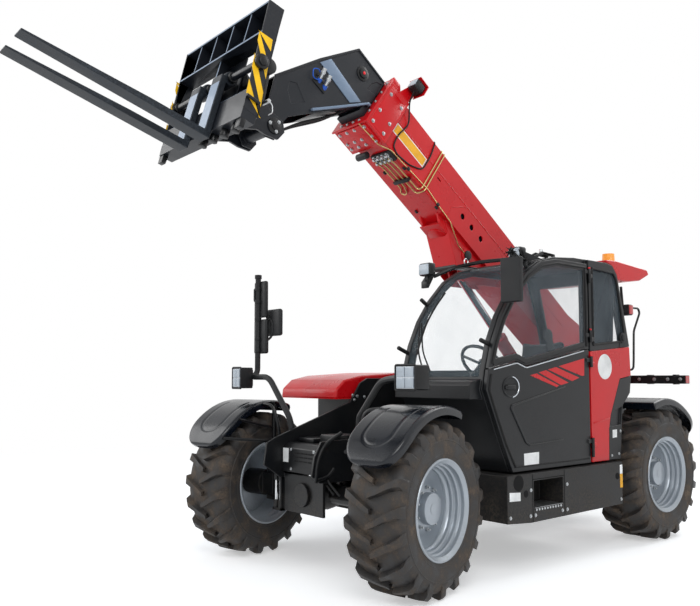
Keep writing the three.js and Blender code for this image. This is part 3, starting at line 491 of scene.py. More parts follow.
def softened(node, width, body, material, slot=None, cutter=None):
    """A copy of a CAD piece with its doubles merged and its edges broken, in its stead.
    A cutter makes a shape that is first taken out of it."""
    piece = twin(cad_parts[node])
    for key in list(piece.keys()):
        del piece[key]
    piece.parent = None
    in_edit(piece, lambda: bpy.ops.mesh.remove_doubles(threshold=0.0001),
            lambda: bpy.ops.mesh.dissolve_limited(angle_limit=math.radians(0.5)))
    if cutter:
        cut_out(piece, cutter())
    modified(piece, "BEVEL", width=width, segments=2, limit_method="ANGLE", angle_limit=math.radians(30),
             use_clamp_overlap=False)
    put(piece, node + "_shown", material, body=body, place=Matrix.Identity(4), replaces=(node,), slot=slot)
    modified(piece, "WEIGHTED_NORMAL", keep_sharp=True)


# ---------------------------------------------------------------- camera, light and floor
def straight_or_mirrored(tree):
    """One where the eye meets the backdrop straight, in a mirror or through glass."""
    path = add_node(tree, "LightPath")
    direct = add_node(tree, "Math", {"operation": "MAXIMUM"},
                      {0: (path, "Is Camera Ray"), 1: (path, "Is Transmission Ray")})
    return add_node(tree, "Math", {"operation": "MAXIMUM"},
                    {0: (direct, "Value"), 1: (path, "Is Glossy Ray")})


def studio():
    bpy.ops.object.camera_add(rotation=(math.radians(93.98), 0, math.radians(50.0)))
    camera = bpy.context.object
    camera.location = MACHINE @ Vector((4.578, -3.652, 1.442))
    camera.data.lens = 39.27
    camera.data.sensor_width = 36
    camera.data.shift_x = 0.008
    camera.data.shift_y = 0.0312
    camera.data.clip_end = 200
    bpy.context.scene.camera = camera

    for place, aim, size, power in (
            ((7.5, -6.0, 8.0), (0, 0, 1.5), 6.0, 520),
            ((-7.0, -6.5, 6.0), (0, 0, 1.5), 6.0, 330),
            ((1.5, 8.0, 8.5), (0, 1, 1.5), 6.0, 420)):
        bpy.ops.object.light_add(type="AREA", location=place)
        lamp = bpy.context.object
        lamp.data.size = size
        lamp.data.energy = power
        lamp.rotation_euler = (Vector(aim) - Vector(place)).to_track_quat("-Z", "Y").to_euler()

    world = bpy.context.scene.world or bpy.data.worlds.new("studio")
    bpy.context.scene.world = world
    world.use_nodes = True
    tree = world.node_tree
    tree.nodes.clear()
    seen = straight_or_mirrored(tree)
    soft = add_node(tree, "Background", {"Color": linear("#DDE6F0"), "Strength": 0.5})
    white = add_node(tree, "Background", {"Color": (1, 1, 1, 1), "Strength": 1.0})
    mix = add_node(tree, "MixShader",
                   links={0: (seen, "Value"), 1: (soft, "Background"), 2: (white, "Background")})
    add_node(tree, "OutputWorld", links={"Surface": (mix, "Shader")})

    material, tree, place = new_material("pale_floor")
    grain = noise(tree, place, 3.0, 4.0)
    colour = ramp(tree, grain, "Fac", [(0.3, linear("#F4F4F3")), (0.7, linear("#F8F8F8"))])
    shader = add_node(tree, "BsdfPrincipled", {"Roughness": 0.9, "Emission Color": (1, 1, 1, 1)},
                      {"Base Color": (colour, "Color")})
    lift = add_node(tree, "Math", {"operation": "MULTIPLY", 1: 0.42},
                    {0: (straight_or_mirrored(tree), "Value")})
    tree.links.new(lift.outputs["Value"], shader.inputs["Emission Strength"])
    reach = add_node(tree, "VectorMath", {"operation": "LENGTH"}, {"Vector": (place, "Object")})
    far = spread(tree, reach, "Value", 5.0, 11.0)
    white = add_node(tree, "Emission", {"Strength": 1.0})
    blend = add_node(tree, "MixShader",
                     links={0: (far, "Result"), 1: (shader, "BSDF"), 2: (white, "Emission")})
    add_node(tree, "OutputMaterial", links={"Surface": (blend, "Shader")})
    bpy.ops.mesh.primitive_plane_add(size=120)
    floor = bpy.context.object
    floor.name = "floor"
    floor.data.materials.append(material)
    bpy.context.scene.view_settings.view_transform = "Standard"


# ---------------------------------------------------------------- wheels
TYRE_R = 0.58
LUG_PAIRS = 19


def tread_lug(hand):
    """One bar of the tread: from the middle of the crown, slanting back over the shoulder.
    Stations run outwards: (x, radius of the foot, height, half width, lag in radians)."""
    stations = ((-0.012, 0.54, 0.04, 0.019, 0.000), (0.05, 0.543, 0.037, 0.023, 0.05),
                (0.12, 0.541, 0.038, 0.027, 0.118), (0.172, 0.53, 0.046, 0.031, 0.16),
                (0.2, 0.512, 0.04, 0.035, 0.18), (0.212, 0.478, 0.006, 0.036, 0.192))
    deselect()
    bpy.ops.mesh.primitive_grid_add(x_subdivisions=len(stations) - 1, y_subdivisions=3)
    piece = bpy.context.object
    across = (-1.25, -0.8, 0.8, 1.25)
    heights = (-0.3, 1.0, 1.0, -0.3)
    for index, vertex in enumerate(piece.data.vertices):
        row, column = divmod(index, len(stations))
        x, foot, height, half, lag = stations[column]
        radius = foot + height * heights[row]
        angle = (lag + across[row] * half / TYRE_R) * hand
        vertex.co = (x, radius * math.sin(angle), radius * math.cos(angle))
    in_edit(piece,
            lambda: bpy.ops.mesh.select_all(action="DESELECT"),
            lambda: bpy.ops.mesh.select_non_manifold(),
            lambda: bpy.ops.mesh.extrude_region_move(),
            lambda: bpy.ops.transform.resize(value=(1, 0.97, 0.97), center_override=(0.08, 0, 0)),
            face_out)
    return piece


def tyre(hand):
    carcass = turned([
        (0.306, -0.192), (0.322, -0.2), (0.345, -0.197), (0.385, -0.206), (0.43, -0.213),
        (0.47, -0.211), (0.505, -0.199), (0.527, -0.176), (0.539, -0.12), (0.543, 0.0),
        (0.539, 0.12), (0.527, 0.176), (0.505, 0.199), (0.47, 0.211), (0.43, 0.213),
        (0.385, 0.206), (0.345, 0.197), (0.322, 0.2), (0.306, 0.192), (0.306, 0.15),
        (0.4, 0.17), (0.5, 0.14), (0.5, -0.14), (0.4, -0.17), (0.306, -0.15)], 96)
    beads = [turned([(r - 0.004, side * x), (r + 0.003, side * (x + 0.004)), (r + 0.009, side * x)], 96)
             for side in SIDES for r, x in ((0.362, 0.199), (0.452, 0.211))]
    step = math.tau / LUG_PAIRS
    lug = tread_lug(hand)
    opposite = tread_lug(hand)
    opposite.data.transform(Matrix.Scale(-1, 4, (1, 0, 0)))
    in_edit(opposite, face_out)
    near = copied(lug, *[Matrix.Rotation(i * step, 4, "X") for i in range(LUG_PAIRS)])
    far = copied(opposite, *[Matrix.Rotation((i + 0.5) * step, 4, "X") for i in range(LUG_PAIRS)])
    return joined(carcass, near, far, *beads)


def dished_rim():
    """A pressed rim: rolled flanges, drop-centre ribs and a dished disc welded inside."""
    shell = turned([
        (0.333, 0.205), (0.336, 0.199), (0.334, 0.194), (0.326, 0.197), (0.318, 0.192), (0.304, 0.183),
        (0.304, 0.1), (0.278, 0.06), (0.278, -0.06), (0.304, -0.1), (0.304, -0.183), (0.318, -0.192),
        (0.326, -0.197), (0.334, -0.194), (0.336, -0.199), (0.333, -0.205), (0.324, -0.206),
        (0.314, -0.199), (0.3, -0.188), (0.294, -0.172), (0.299, -0.158), (0.294, -0.142),
        (0.282, -0.128), (0.287, -0.112), (0.28, -0.098), (0.268, -0.08), (0.268, 0.04),
        (0.262, 0.052), (0.266, 0.064), (0.276, 0.07), (0.281, 0.082), (0.275, 0.094), (0.276, 0.104),
        (0.288, 0.11), (0.292, 0.122), (0.286, 0.134), (0.287, 0.144), (0.298, 0.15), (0.302, 0.162),
        (0.297, 0.173), (0.3, 0.188), (0.314, 0.199), (0.324, 0.206)], 96)
    disc = turned([
        (0.0, 0.07), (0.11, 0.07), (0.15, 0.066), (0.165, 0.052), (0.215, 0.044), (0.268, 0.05),
        (0.268, 0.034), (0.215, 0.03), (0.165, 0.036), (0.1, 0.02), (0.0, 0.02)], 96)
    cap = rod((0.068, 0, 0), (0.122, 0, 0), 0.105, 0.006, 64)
    boss = turned([(0.0, 0.1215), (0.03, 0.1215), (0.034, 0.124), (0.0, 0.124)], 48)
    return joined(shell, disc, cap, boss)


def wheel_nuts():
    nut = rod((0.064, 0, 0.138), (0.083, 0, 0.138), 0.0135, 0.002, 6)
    stud = rod((0.08, 0, 0.138), (0.097, 0, 0.138), 0.007, 0.001, 12)
    return copied(joined(nut, stud), *[Matrix.Rotation(math.tau * i / 10, 4, "X") for i in range(10)])


def wheels():
    shapes = {hand: tyre(hand) for hand in SIDES}
    rim_shape, nuts = dished_rim(), wheel_nuts()
    for tag, (side, _, _) in CORNERS.items():
        place, body = wheel_place(tag), "wheel_" + tag
        put(twin(shapes[side]), "tyre_tread_" + tag, "tyre", 40, body, place, ("tyre_" + tag,))
        put(twin(rim_shape), "rim_dished_" + tag, "silver", 40, body, place, ("rim_" + tag,))
        put(twin(nuts), "wheel_nuts_" + tag, "zinc", 40, body, place, slot="rim_paint")
    for shape in (*shapes.values(), rim_shape, nuts):
        bpy.data.objects.remove(shape)


# ---------------------------------------------------------------- pieces that keep the frame's shape
def carried_over():
    """CAD pieces whose shape is right, with their edges broken."""
    for node, body, material, width in (
            ("chassis_frame", "chassis", "black", 0.004),
            ("boom_tower", "chassis", "red", 0.005),
            ("counterweight", "chassis", "black", 0.01),
            ("rear_beam", "chassis", "black", 0.005),
            ("front_axle", "chassis", "black", 0.006),
            ("rear_axle", "chassis", "black", 0.006),
            ("engine_pod", "chassis", "charcoal", 0.008),
            ("engine_block", "chassis", "iron", 0.01),
            ("hood", "hood", "red", 0.02),
            ("front_cover", "chassis", "black", 0.008),
            ("side_tank", "chassis", "skirt", 0.005),
            ("cab_frame", "chassis", "charcoal", 0.006),
            ("cab_side_panel", "chassis", "red", 0.005),
            ("console", "chassis", "plastic", 0.01),
            ("seat_base", "chassis", "plastic", 0.008),
            ("roof_visor", "chassis", "red", 0.012),
            ("carriage", "carriage", "head", 0.003),
            ("fork_left", "carriage", "fork", 0.006),
            ("fork_right", "carriage", "fork", 0.006),
            ("door_lower", "door_lower", "charcoal", 0.004),
            ("door_upper", "door_upper", "charcoal", 0.004),
            ("lift_barrel", "lift_barrel", "red", 0.003),
            ("tilt_barrel", "tilt_barrel", "red", 0.002)):
        softened(node, width, body, material)
    softened("mirror_left", 0.01, "chassis", "plastic", slot="black_paint")
    softened("boom_outer", 0.005, "boom_outer", "red", cutter=boom_holes)
    softened("boom_inner", 0.003, "boom_inner", "head", cutter=head_recesses)
    for tag in CORNERS:
        softened("knuckle_" + tag, 0.004, "knuckle_" + tag, "black")
    for node, material in (
            ("glass_front", "glass"), ("glass_right", "glass"), ("glass_rear", "glass"),
            ("glass_quarter", "dark_glass"), ("door_glass", "dark_glass"), ("lift_rod", "chrome"),
            ("tilt_rod", "chrome"), ("steering_wheel", "plastic"), ("beacon", "amber")):
        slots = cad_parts[node].data.materials
        slots.clear()
        slots.append(MATERIAL[material])


# ---------------------------------------------------------------- boom
# In the boom's and the carriage's frames a place is (forward, left, up).
def lay(points, low, high):
    """An outline drawn forward and up, thick to the left."""
    return plate([(u, low, v) for u, v in points], (0, high - low, 0))


def bolts(places, way, radius=0.011, height=0.008):
    """Hexagon heads on washers, all facing one way."""
    way = Vector(way)
    pieces = []
    for start in map(Vector, places):
        pieces.append(rod(start, start + way * 0.003, radius * 1.5, 0, 18))
        pieces.append(rod(start + way * 0.002, start + way * (0.003 + height), radius, radius * 0.14, 6))
    return joined(*pieces)


def stub(side, forward, up, near, far, radius, chamfer=0.0, sides=24):
    """A round boss that stands out to one side, from near to far."""
    return rod((forward, side * near, up), (forward, side * far, up), radius, chamfer, sides)


def cheeks(points, near, far):
    """The same outline on both sides, from near to far."""
    return joined(lay(points, near, far), lay(points, -far, -near))


def boom_holes():
    """Three round holes and a short slot through the side plates, behind the decals' place."""
    tools = [rod((u, -0.3, -0.388), (u, 0.3, -0.388), 0.026, 0, 32) for u in (2.291, 2.147, 1.997)]
    tools.append(block((2.672, -0.3, -0.341), (2.722, 0.3, -0.327)))
    tool = joined(*tools)
    tool.data.transform(BOOM)
    return tool


def head_recesses():
    """Pressed shapes, 5 mm deep, in both cheeks of the boom's head."""
    shapes = ([(4.246, -0.865), (4.218, -0.934), (4.143, -0.991), (4.06, -0.888), (4.194, -0.827)],
              [(3.7, -0.32), (3.7, -0.25), (3.668, -0.192), (3.617, -0.168), (3.605, -0.285)])
    tool = joined(*[cheeks(shape, 0.145, 0.17) for shape in shapes])
    tool.data.transform(BOOM)
    return tool


BOOM_SIDE = 0.165


def boom():
    outer = partial(put, place=BOOM, body="boom_outer")
    seams = []
    for x in (BOOM_SIDE, -BOOM_SIDE):
        seams.append(tube([(3.33, x, -0.289), (0.55, x, -0.262)], 0.0035))
        fold = [(2.446, x, -0.535), (2.446, x, -0.421), (2.351, x, -0.329), (2.3, x, -0.29)]
        seams.append(tube(fold, 0.003))
    outer(joined(*seams), "boom_weld_seams", "red")
    for side, tag in ((1, "left"), (-1, "right")):
        x = side * BOOM_SIDE
        outer(lay([(3.325, -0.303), (2.905, -0.301), (2.905, -0.398), (3.325, -0.402)], x, x + side * 0.0008),
              "boom_label_border_" + tag, "white", smooth=0)
        outer(lay([(3.316, -0.311), (2.914, -0.309), (2.914, -0.39), (3.316, -0.394)],
                  x + side * 0.0007, x + side * 0.0014), "boom_label_" + tag, "label", smooth=0)
    # The collar: a bolted front flange, side pads and a wear-pad plate below.
    flange = cut_out(block((3.582, -0.214, -0.592), (3.598, 0.214, -0.094)),
                     block((3.5, -0.1405, -0.5155), (3.7, 0.1405, -0.1375)))
    pads = [block((3.36, side * 0.203 - 0.003, -0.56), (3.56, side * 0.203 + 0.003, -0.13))
            for side in SIDES]
    under = block((3.37, -0.17, -0.594), (3.572, 0.17, -0.578))
    lips = [lay([(3.6, -0.094), (3.585, -0.05), (3.5, -0.05), (3.46, -0.104), (3.6, -0.104)],
                side * 0.19 - 0.006, side * 0.19 + 0.006) for side in SIDES]
    outer(round_edges(joined(flange, *pads, under, *lips), 0.003), "collar_flange", "red")
    heads = [bolts([(u, side * 0.206, v) for u, v in (
        (3.53, -0.207), (3.54, -0.407), (3.388, -0.214), (3.402, -0.421), (3.54, -0.534), (3.402, -0.534))],
        (0, side, 0)) for side in SIDES]
    heads.append(bolts([(u, x, -0.594) for u in (3.395, 3.45, 3.55) for x in (-0.15, -0.06, 0.03, 0.15)],
                       (0, 0, -1), 0.01))
    heads.append(bolts([(3.598, x, v) for x in (-0.178, 0.178) for v in (-0.14, -0.25, -0.36, -0.47)]
                       + [(3.598, x, -0.555) for x in (-0.11, -0.037, 0.037, 0.11)], (1, 0, 0), 0.01))
    outer(joined(*heads), "collar_bolts", "zinc")
    # A lamp on a folded red bracket at the collar's left top corner, and its cable.
    bracket = joined(
        lay([(3.5, -0.17), (3.37, -0.17), (3.335, 0.02), (3.36, 0.06), (3.42, 0.04)], 0.203, 0.209),
        block((3.335, 0.205, 0.045), (3.45, 0.335, 0.053)),
        block((3.335, 0.205, -0.05), (3.343, 0.335, 0.05)))
    outer(round_edges(bracket, 0.003), "boom_lamp_bracket", "red")
    case = round_edges(block((3.35, 0.225, -0.045), (3.452, 0.325, 0.04)), 0.02, 3)
    outer(case, "boom_lamp_case", "plastic")
    outer(round_edges(block((3.45, 0.233, -0.037), (3.458, 0.317, 0.032)), 0.006), "boom_lamp_lens", "clear")
    cable = [(3.4, 0.27, -0.045), (3.36, 0.214, -0.1), (3.231, 0.176, -0.228), (3.268, 0.174, -0.401),
             (3.253, 0.174, -0.505), (3.187, 0.174, -0.533), (3.034, 0.172, -0.502), (2.897, 0.171, -0.423),
             (2.893, 0.171, -0.254), (2.924, 0.171, -0.102), (2.93, 0.1, -0.108), (2.93, -0.05, -0.108)]
    outer(tube(cable, 0.0065, 0.05), "boom_lamp_cable", "rubber")
    # Hydraulic pipes under the boom: a fittings block, four lines, and two that wrap up the side.
    outer(round_edges(joined(block((3.15, -0.065, -0.568), (3.255, 0.158, -0.541)),
                             block((2.925, -0.045, -0.578), (2.955, 0.128, -0.541)),
                             rod((3.31, -0.14, -0.612), (3.31, -0.02, -0.612), 0.03, 0.004),
                             *[block((u - 0.016, x - 0.01, -0.556), (u + 0.016, x + 0.01, -0.54))
                               for u, x in ((3.054, -0.075), (2.579, -0.084), (3.044, 0.15), (2.574, 0.15))]),
                      0.003), "pipe_clamps", "plastic")
    outer(bolts([(u, x, -0.568) for u in (3.18, 3.225) for x in (-0.035, 0.015, 0.065, 0.115)], (0, 0, -1),
                0.014, 0.022), "pipe_fittings", "zinc")
    lines = [tube([(3.2, x, -0.585), (3.13, x, -0.562), (2.94, x + 0.005, -0.556), (2.86, x, -0.556)], 0.0065,
                  0.03) for x in (-0.035, 0.015)]
    lines += [tube([(3.2, x, -0.585), (3.13, x, -0.562), (2.94, x + 0.005, -0.556), (u, x + 0.01, -0.556),
                    (u, 0.172, -0.556), (u, 0.172, -0.1), (u, 0.1, -0.1), (u, -0.12, -0.1)], 0.0063, 0.035)
              for x, u in ((0.065, 2.776), (0.115, 2.812))]
    lines.append(tube([(2.86, -0.035, -0.556), (2.82, -0.07, -0.556), (2.79, -0.05, -0.556),
                       (2.8, -0.01, -0.556), (2.86, 0.015, -0.556)], 0.0065, 0.03))
    outer(joined(*lines), "hydraulic_pipes", "pipe")
    thin = [(3.6, 0.137, -0.606), (3.541, 0.137, -0.6), (3.36, 0.15, -0.6), (3.245, 0.172, -0.552),
            (3.088, 0.172, -0.54), (2.743, 0.172, -0.512), (2.602, 0.172, -0.53), (2.388, 0.172, -0.546),
            (2.176, 0.145, -0.622), (2.06, 0.142, -0.622)]
    outer(tube(thin, 0.0042, 0.02), "pilot_line", "pipe")
    outer(joined(*[round_edges(block((u - 0.015, 0.163, v - 0.013), (u + 0.015, 0.182, v + 0.013)), 0.004)
                   for u, v in ((3.02, -0.534), (2.59, -0.531))]), "pilot_line_clips", "plastic")
    # The belly's round cover, the lift ram's pin bosses and the cross tube.
    belly = joined(block((2.17, -0.112, -0.611), (2.45, 0.112, -0.602)),
                   rod((2.31, 0, -0.609), (2.31, 0, -0.618), 0.094, 0.003, 48))
    outer(belly, "belly_cover", "red")
    bosses = [stub(side, 2.03, -0.612, 0.128, 0.14, 0.066, 0.003, 40) for side in SIDES]
    outer(joined(*bosses), "lift_pin_plates", "red")
    pins = [stub(side, 2.03, -0.612, 0.139, 0.156, 0.042, 0.005, 40) for side in SIDES]
    pins.append(rod((2.062, -0.126, -0.765), (2.062, 0.126, -0.765), 0.0295, 0, 32))
    outer(joined(*pins), "lift_pins", "black")
    # A dark hatched grip band on the top plate near the boom's rear.
    outer(joined(*[block((1.3 + 0.03 * i, -0.15, -0.1135), (1.318 + 0.03 * i, 0.15, -0.1105))
                   for i in range(14)]), "boom_grip_band", "rubber", smooth=0)


def boom_head():
    inner = partial(put, place=BOOM, body="boom_inner")
    # Stiffener plates and a strip along the lower flange, in the pale sky paint: a painted highlight.
    band = [(4.146, -0.53), (4.092, -0.42), (3.69, -0.462), (3.765, -0.556)]
    inner(round_edges(cheeks(band, 0.149, 0.157), 0.003), "head_stiffeners", "sky")
    edge = [(3.998, -0.889), (3.829, -0.666), (3.641, -0.415), (3.612, -0.412), (3.612, -0.432),
            (3.632, -0.432), (3.815, -0.68), (3.984, -0.902)]
    inner(round_edges(cheeks(edge, 0.148, 0.176), 0.004), "head_lower_flange", "sky")
    rim = [(3.612, -0.13), (3.955, -0.124), (4.166, -0.506), (4.366, -0.936), (4.352, -0.942),
           (4.15, -0.514), (3.946, -0.138), (3.612, -0.142)]
    inner(cheeks(rim, 0.148, 0.157), "head_upper_rim", "head")
    for side, tag in ((1, "left"), (-1, "right")):
        inner(joined(stub(side, 3.81, -0.258, 0.148, 0.157, 0.06, 0.003, 40),
                     stub(side, 3.81, -0.258, 0.156, 0.17, 0.04, 0.004, 40)),
              "head_boss_" + tag, "black")
        inner(stub(side, 3.81, -0.258, 0.169, 0.173, 0.013, 0.001), "head_boss_dot_" + tag, "red_vinyl")
    caps, bodies = [], []
    for u, v in ((4.085, -0.592), (4.02, -0.598)):
        way = Vector((0.03, 0.05, 0.06))
        base = Vector((u - 0.01, 0.16, v - 0.045))
        bodies.append(rod(base, base + way, 0.017, 0.003))
        bodies.append(rod(base + way * 0.4, base + way * 0.7, 0.022, 0.003))
        caps.append(rod(base - way * 0.75, base, 0.021, 0.004))
    caps.append(tube([(4.07, 0.165, -0.66), (4.13, 0.17, -0.69), (4.17, 0.18, -0.64), (4.13, 0.18, -0.6),
                      (4.09, 0.17, -0.62)], 0.004, 0.02))
    inner(joined(*bodies), "quick_couplers", "zinc")
    inner(joined(*caps), "coupler_caps", "blue")
    inner(round_edges(block((3.98, 0.149, -0.7), (4.11, 0.158, -0.62)), 0.003), "coupler_plate", "black")
    hoses = [tube([(3.7, x, -0.5), (3.8, x, -0.72), (3.98, x, -1.00), (4.06, x * 1.3, -1.17)], 0.01, 0.08)
             for x in (-0.07, -0.045, 0.05, 0.075)]
    inner(joined(*hoses), "head_hoses", "rubber")


# ---------------------------------------------------------------- fork carriage
def hazard_stripes(side):
    """Slanting stripes across the side plate, each between its front and rear edges."""
    def reach(c, foot, lean):
        v = (c + 1.6 * (foot + 0.237 * lean - 0.42)) / (1 - 1.6 * lean)
        return foot + (v + 0.237) * lean, v

    stripes = []
    for i in range(5):
        corners = []
        for c in (-0.34 + 0.165 * i, -0.255 + 0.165 * i):
            ends = [reach(c, 0.448, 0.072), reach(c, 0.322, 0.104)]
            corners += ends if not corners else ends[::-1]
        inside = [(min(max(f, 0.3), 0.5), min(max(v, -0.222), 0.325)) for f, v in corners]
        if max(v for _, v in inside) - min(v for _, v in inside) > 0.03:
            stripes.append(lay(inside, side * 0.5602, side * 0.5612))
    return stripes


def carriage():
    ride = partial(put, place=CARRIAGE, body="carriage")
    ride(joined(*hazard_stripes(1), *hazard_stripes(-1)), "hazard_stripes", "stripe", smooth=0)
    # Thin pale strips on the plates' front edges and top faces, in the sky paint: painted highlights.
    faces = [block((0.4704, -0.559, 0.33), (0.4716, 0.559, 0.343)),
             block((0.4784, -0.559, 0.561), (0.4796, 0.559, 0.574)),
             block((0.352, -0.558, -0.0752), (0.446, 0.558, -0.074)),
             block((0.4402, -0.006, -0.07), (0.4412, 0.006, 0.333))]
    faces += [block((0.4718, x - 0.005, 0.344), (0.4728, x + 0.005, 0.56))
              for x in (-0.336, -0.112, 0.112, 0.336)]
    faces += [block((0.4948, x - 0.056, -0.292), (0.4956, x + 0.056, 0.07)) for x in (-0.145, 0.145)]
    ride(joined(*faces), "carriage_worn_faces", "sky", smooth=0)
    parts = []
    for side in SIDES:
        parts += [stub(side, 0.42, 0.129, 0.56, 0.59, 0.05, 0.004, 40),
                  stub(side, 0.42, 0.129, 0.589, 0.603, 0.034, 0.004, 6),
                  rod((0.455, side * 0.575, -0.134), (0.35, side * 0.575, -0.142), 0.011, 0.002),
                  stub(side, 0.44, -0.134, 0.558, 0.576, 0.01, 0.002),
                  stub(side, 0.335, 0.165, 0.5, 0.54, 0.052, 0.006, 40),
                  block((0.345, side * 0.515 - 0.01, 0.12), (0.4, side * 0.515 + 0.01, 0.21)),
                  stub(side, 0, 0, 0.193, 0.206, 0.058, 0.005, 40),
                  stub(side, 0, 0, 0.205, 0.214, 0.03, 0.004, 32),
                  lay([(0.4, -0.284), (0.44, -0.284), (0.438, -0.345), (0.405, -0.345)],
                      side * 0.53 - 0.03, side * 0.53 + 0.03)]
        parts += [lay([(0.345, 0.3), (0.36, 0.02), (0.345, -0.2), (0.3, -0.2), (0.29, -0.06), (0.31, 0.2)],
                      side * 0.5 - 0.007, side * 0.5 + 0.007)]
    parts += [rod((0.395, x, -0.283), (0.395, x, -0.335), 0.03, 0.004) for x in (0.02, 0.16, 0.3, 0.44)]
    parts += [rod((0.42, x, 0.129), (0.42, x + 0.022, 0.129), 0.036, 0.003) for x in
              (-0.545, -0.24, -0.075, 0.053, 0.218, 0.523)]
    ride(round_edges(joined(*parts), 0.002), "carriage_fittings", "black")
    pins = [bolts([(0.045, side * 0.206, 0.0), (-0.02, side * 0.206, 0.038), (-0.02, side * 0.206, -0.038)],
                  (0, side, 0), 0.009) for side in SIDES]
    pins += [stub(side, 0.292, -0.085, 0.5, 0.575, 0.014, 0.003) for side in SIDES]
    pins += [tube([(0.292, side * 0.57, -0.085), (0.262, side * 0.575, -0.1), (0.245, side * 0.575, -0.15),
                   (0.27, side * 0.575, -0.18)], 0.004, 0.02) for side in SIDES]
    ride(joined(*pins), "carriage_pins", "zinc")


# ---------------------------------------------------------------- doors and cab
# In the machine's frame a wall's outline is drawn in Y and Z, and it is thick along X.
def doors():
    lower = partial(put, body="door_lower")
    upper = partial(put, body="door_upper")
    face = 1.0582
    stripes = ([(1.128, 1.462), (1.208, 1.477), (1.498, 1.383), (1.466, 1.371)],
               [(1.236, 1.484), (1.331, 1.502), (1.629, 1.405), (1.525, 1.386)],
               [(1.358, 1.507), (1.463, 1.527), (1.78, 1.444), (1.677, 1.417)],
               [(1.498, 1.534), (1.855, 1.602), (1.85, 1.462), (1.819, 1.458)])
    lower(joined(*[side_plate(stripe, face, face + 0.0009) for stripe in stripes]), "door_stripes", "red", 0)
    lower(side_plate([(1.039, 0.882), (1.223, 0.884), (1.22, 0.786), (1.041, 0.79)], face, face + 0.0008),
          "door_label", "white", 0)
    # A pressed rib in the shape of a wide arrow, its front face catching the light.
    outer = [(1.58, 1.378), (0.898, 1.247), (0.884, 1.219), (1.06, 0.958), (1.112, 0.934), (1.538, 0.958)]
    inner = [(1.538, 0.966), (1.118, 0.946), (1.074, 0.968), (0.912, 1.214), (0.921, 1.235), (1.58, 1.369)]
    lower(round_edges(side_plate(outer + inner, face - 0.002, face + 0.007), 0.004, 3), "door_pressed_rib",
          "charcoal")
    # A painted glint: a thin bright steel arc along the rear of the handle cup's rim stands for its
    # highlight.
    turns = [math.radians(20 * i - 80) for i in range(9)]
    glint = [(face + 0.004, 0.893 + 0.094 * math.cos(t), 1.376 + 0.077 * math.sin(t)) for t in turns]
    lower(tube(glint, 0.005), "door_handle_edge", "steel")
    cup = turned([(0.0, 0.002), (0.062, 0.001), (0.07, 0.007), (0.077, 0.004), (0.077, -0.004),
                  (0.0, -0.004)], 64)
    cup.data.transform(shift(face, 0.893, 1.376) @ Matrix.Scale(1.22, 4, (0, 1, 0)))
    lever = round_edges(block((face, 0.835, 1.357), (face + 0.02, 0.935, 1.392)), 0.008, 3)
    lower(joined(cup, lever, rod((face, 0.83, 1.374), (face + 0.016, 0.83, 1.374), 0.014, 0.003)),
          "door_handle", "plastic")

    def trim(line, radius, drop=0.0):
        return tube([(face, y, z + drop) for y, z in line], radius, 0.02)

    belt = [(0.7, 1.513), (0.973, 1.563), (1.085, 1.528), (1.85, 1.672)]
    lower(trim(belt, 0.0045, -0.01), "door_belt_trim", "steel")
    upper(trim(belt, 0.006, 0.022), "door_window_trim", "rubber")
    hoop = [(0.94, 0.79), (0.835, 0.96), (0.735, 1.17), (0.65, 1.356), (0.676, 1.47)]
    lower(trim(hoop, 0.01), "door_seal_lower", "rubber")
    lower(trim([(0.93, 0.79), (1.9, 0.79)], 0.006), "door_seal_sill", "rubber")
    arch = [(0.69, 1.545), (0.735, 1.69), (0.833, 1.885), (0.962, 2.055), (1.13, 2.215), (1.3, 2.31),
            (1.5, 2.351), (1.895, 2.352), (1.895, 1.7)]
    upper(trim(arch, 0.01), "door_seal_upper", "rubber")
    # Upright hinge pins with bright red caps.
    for tag, spans in (("lower", ((0.8, 0.955), (1.53, 1.62))), ("upper", ((1.735, 1.835), (2.225, 2.345)))):
        put(joined(*[rod((1.07, 1.94, low), (1.07, 1.94, high), 0.0135, 0.002) for low, high in spans]),
            "hinge_pins_" + tag, "black", body="door_" + tag)
        put(joined(*[rod((1.07, 1.94, high), (1.07, 1.94, high + 0.012), 0.01, 0.003)
                     for _, high in spans]), "hinge_caps_" + tag, "red_vinyl", body="door_" + tag)
    # The window's inner pull and its round latch knob, seen through the glass.
    knob = [rod((1.02, 1.405, 1.77), (1.038, 1.405, 1.77), 0.056, 0.006, 40),
            side_plate([(1.37, 1.77), (1.45, 1.77), (1.5, 1.66), (1.4, 1.63)], 1.022, 1.032)]
    upper(joined(*knob), "door_window_latch", "plastic")


def turned_ring(centre, radius, thickness):
    """A small eye, standing in the Y-Z plane."""
    ring = turned([(radius - thickness, 0), (radius, thickness), (radius + thickness, 0),
                   (radius, -thickness)], 32)
    ring.data.transform(shift(*centre))
    return ring


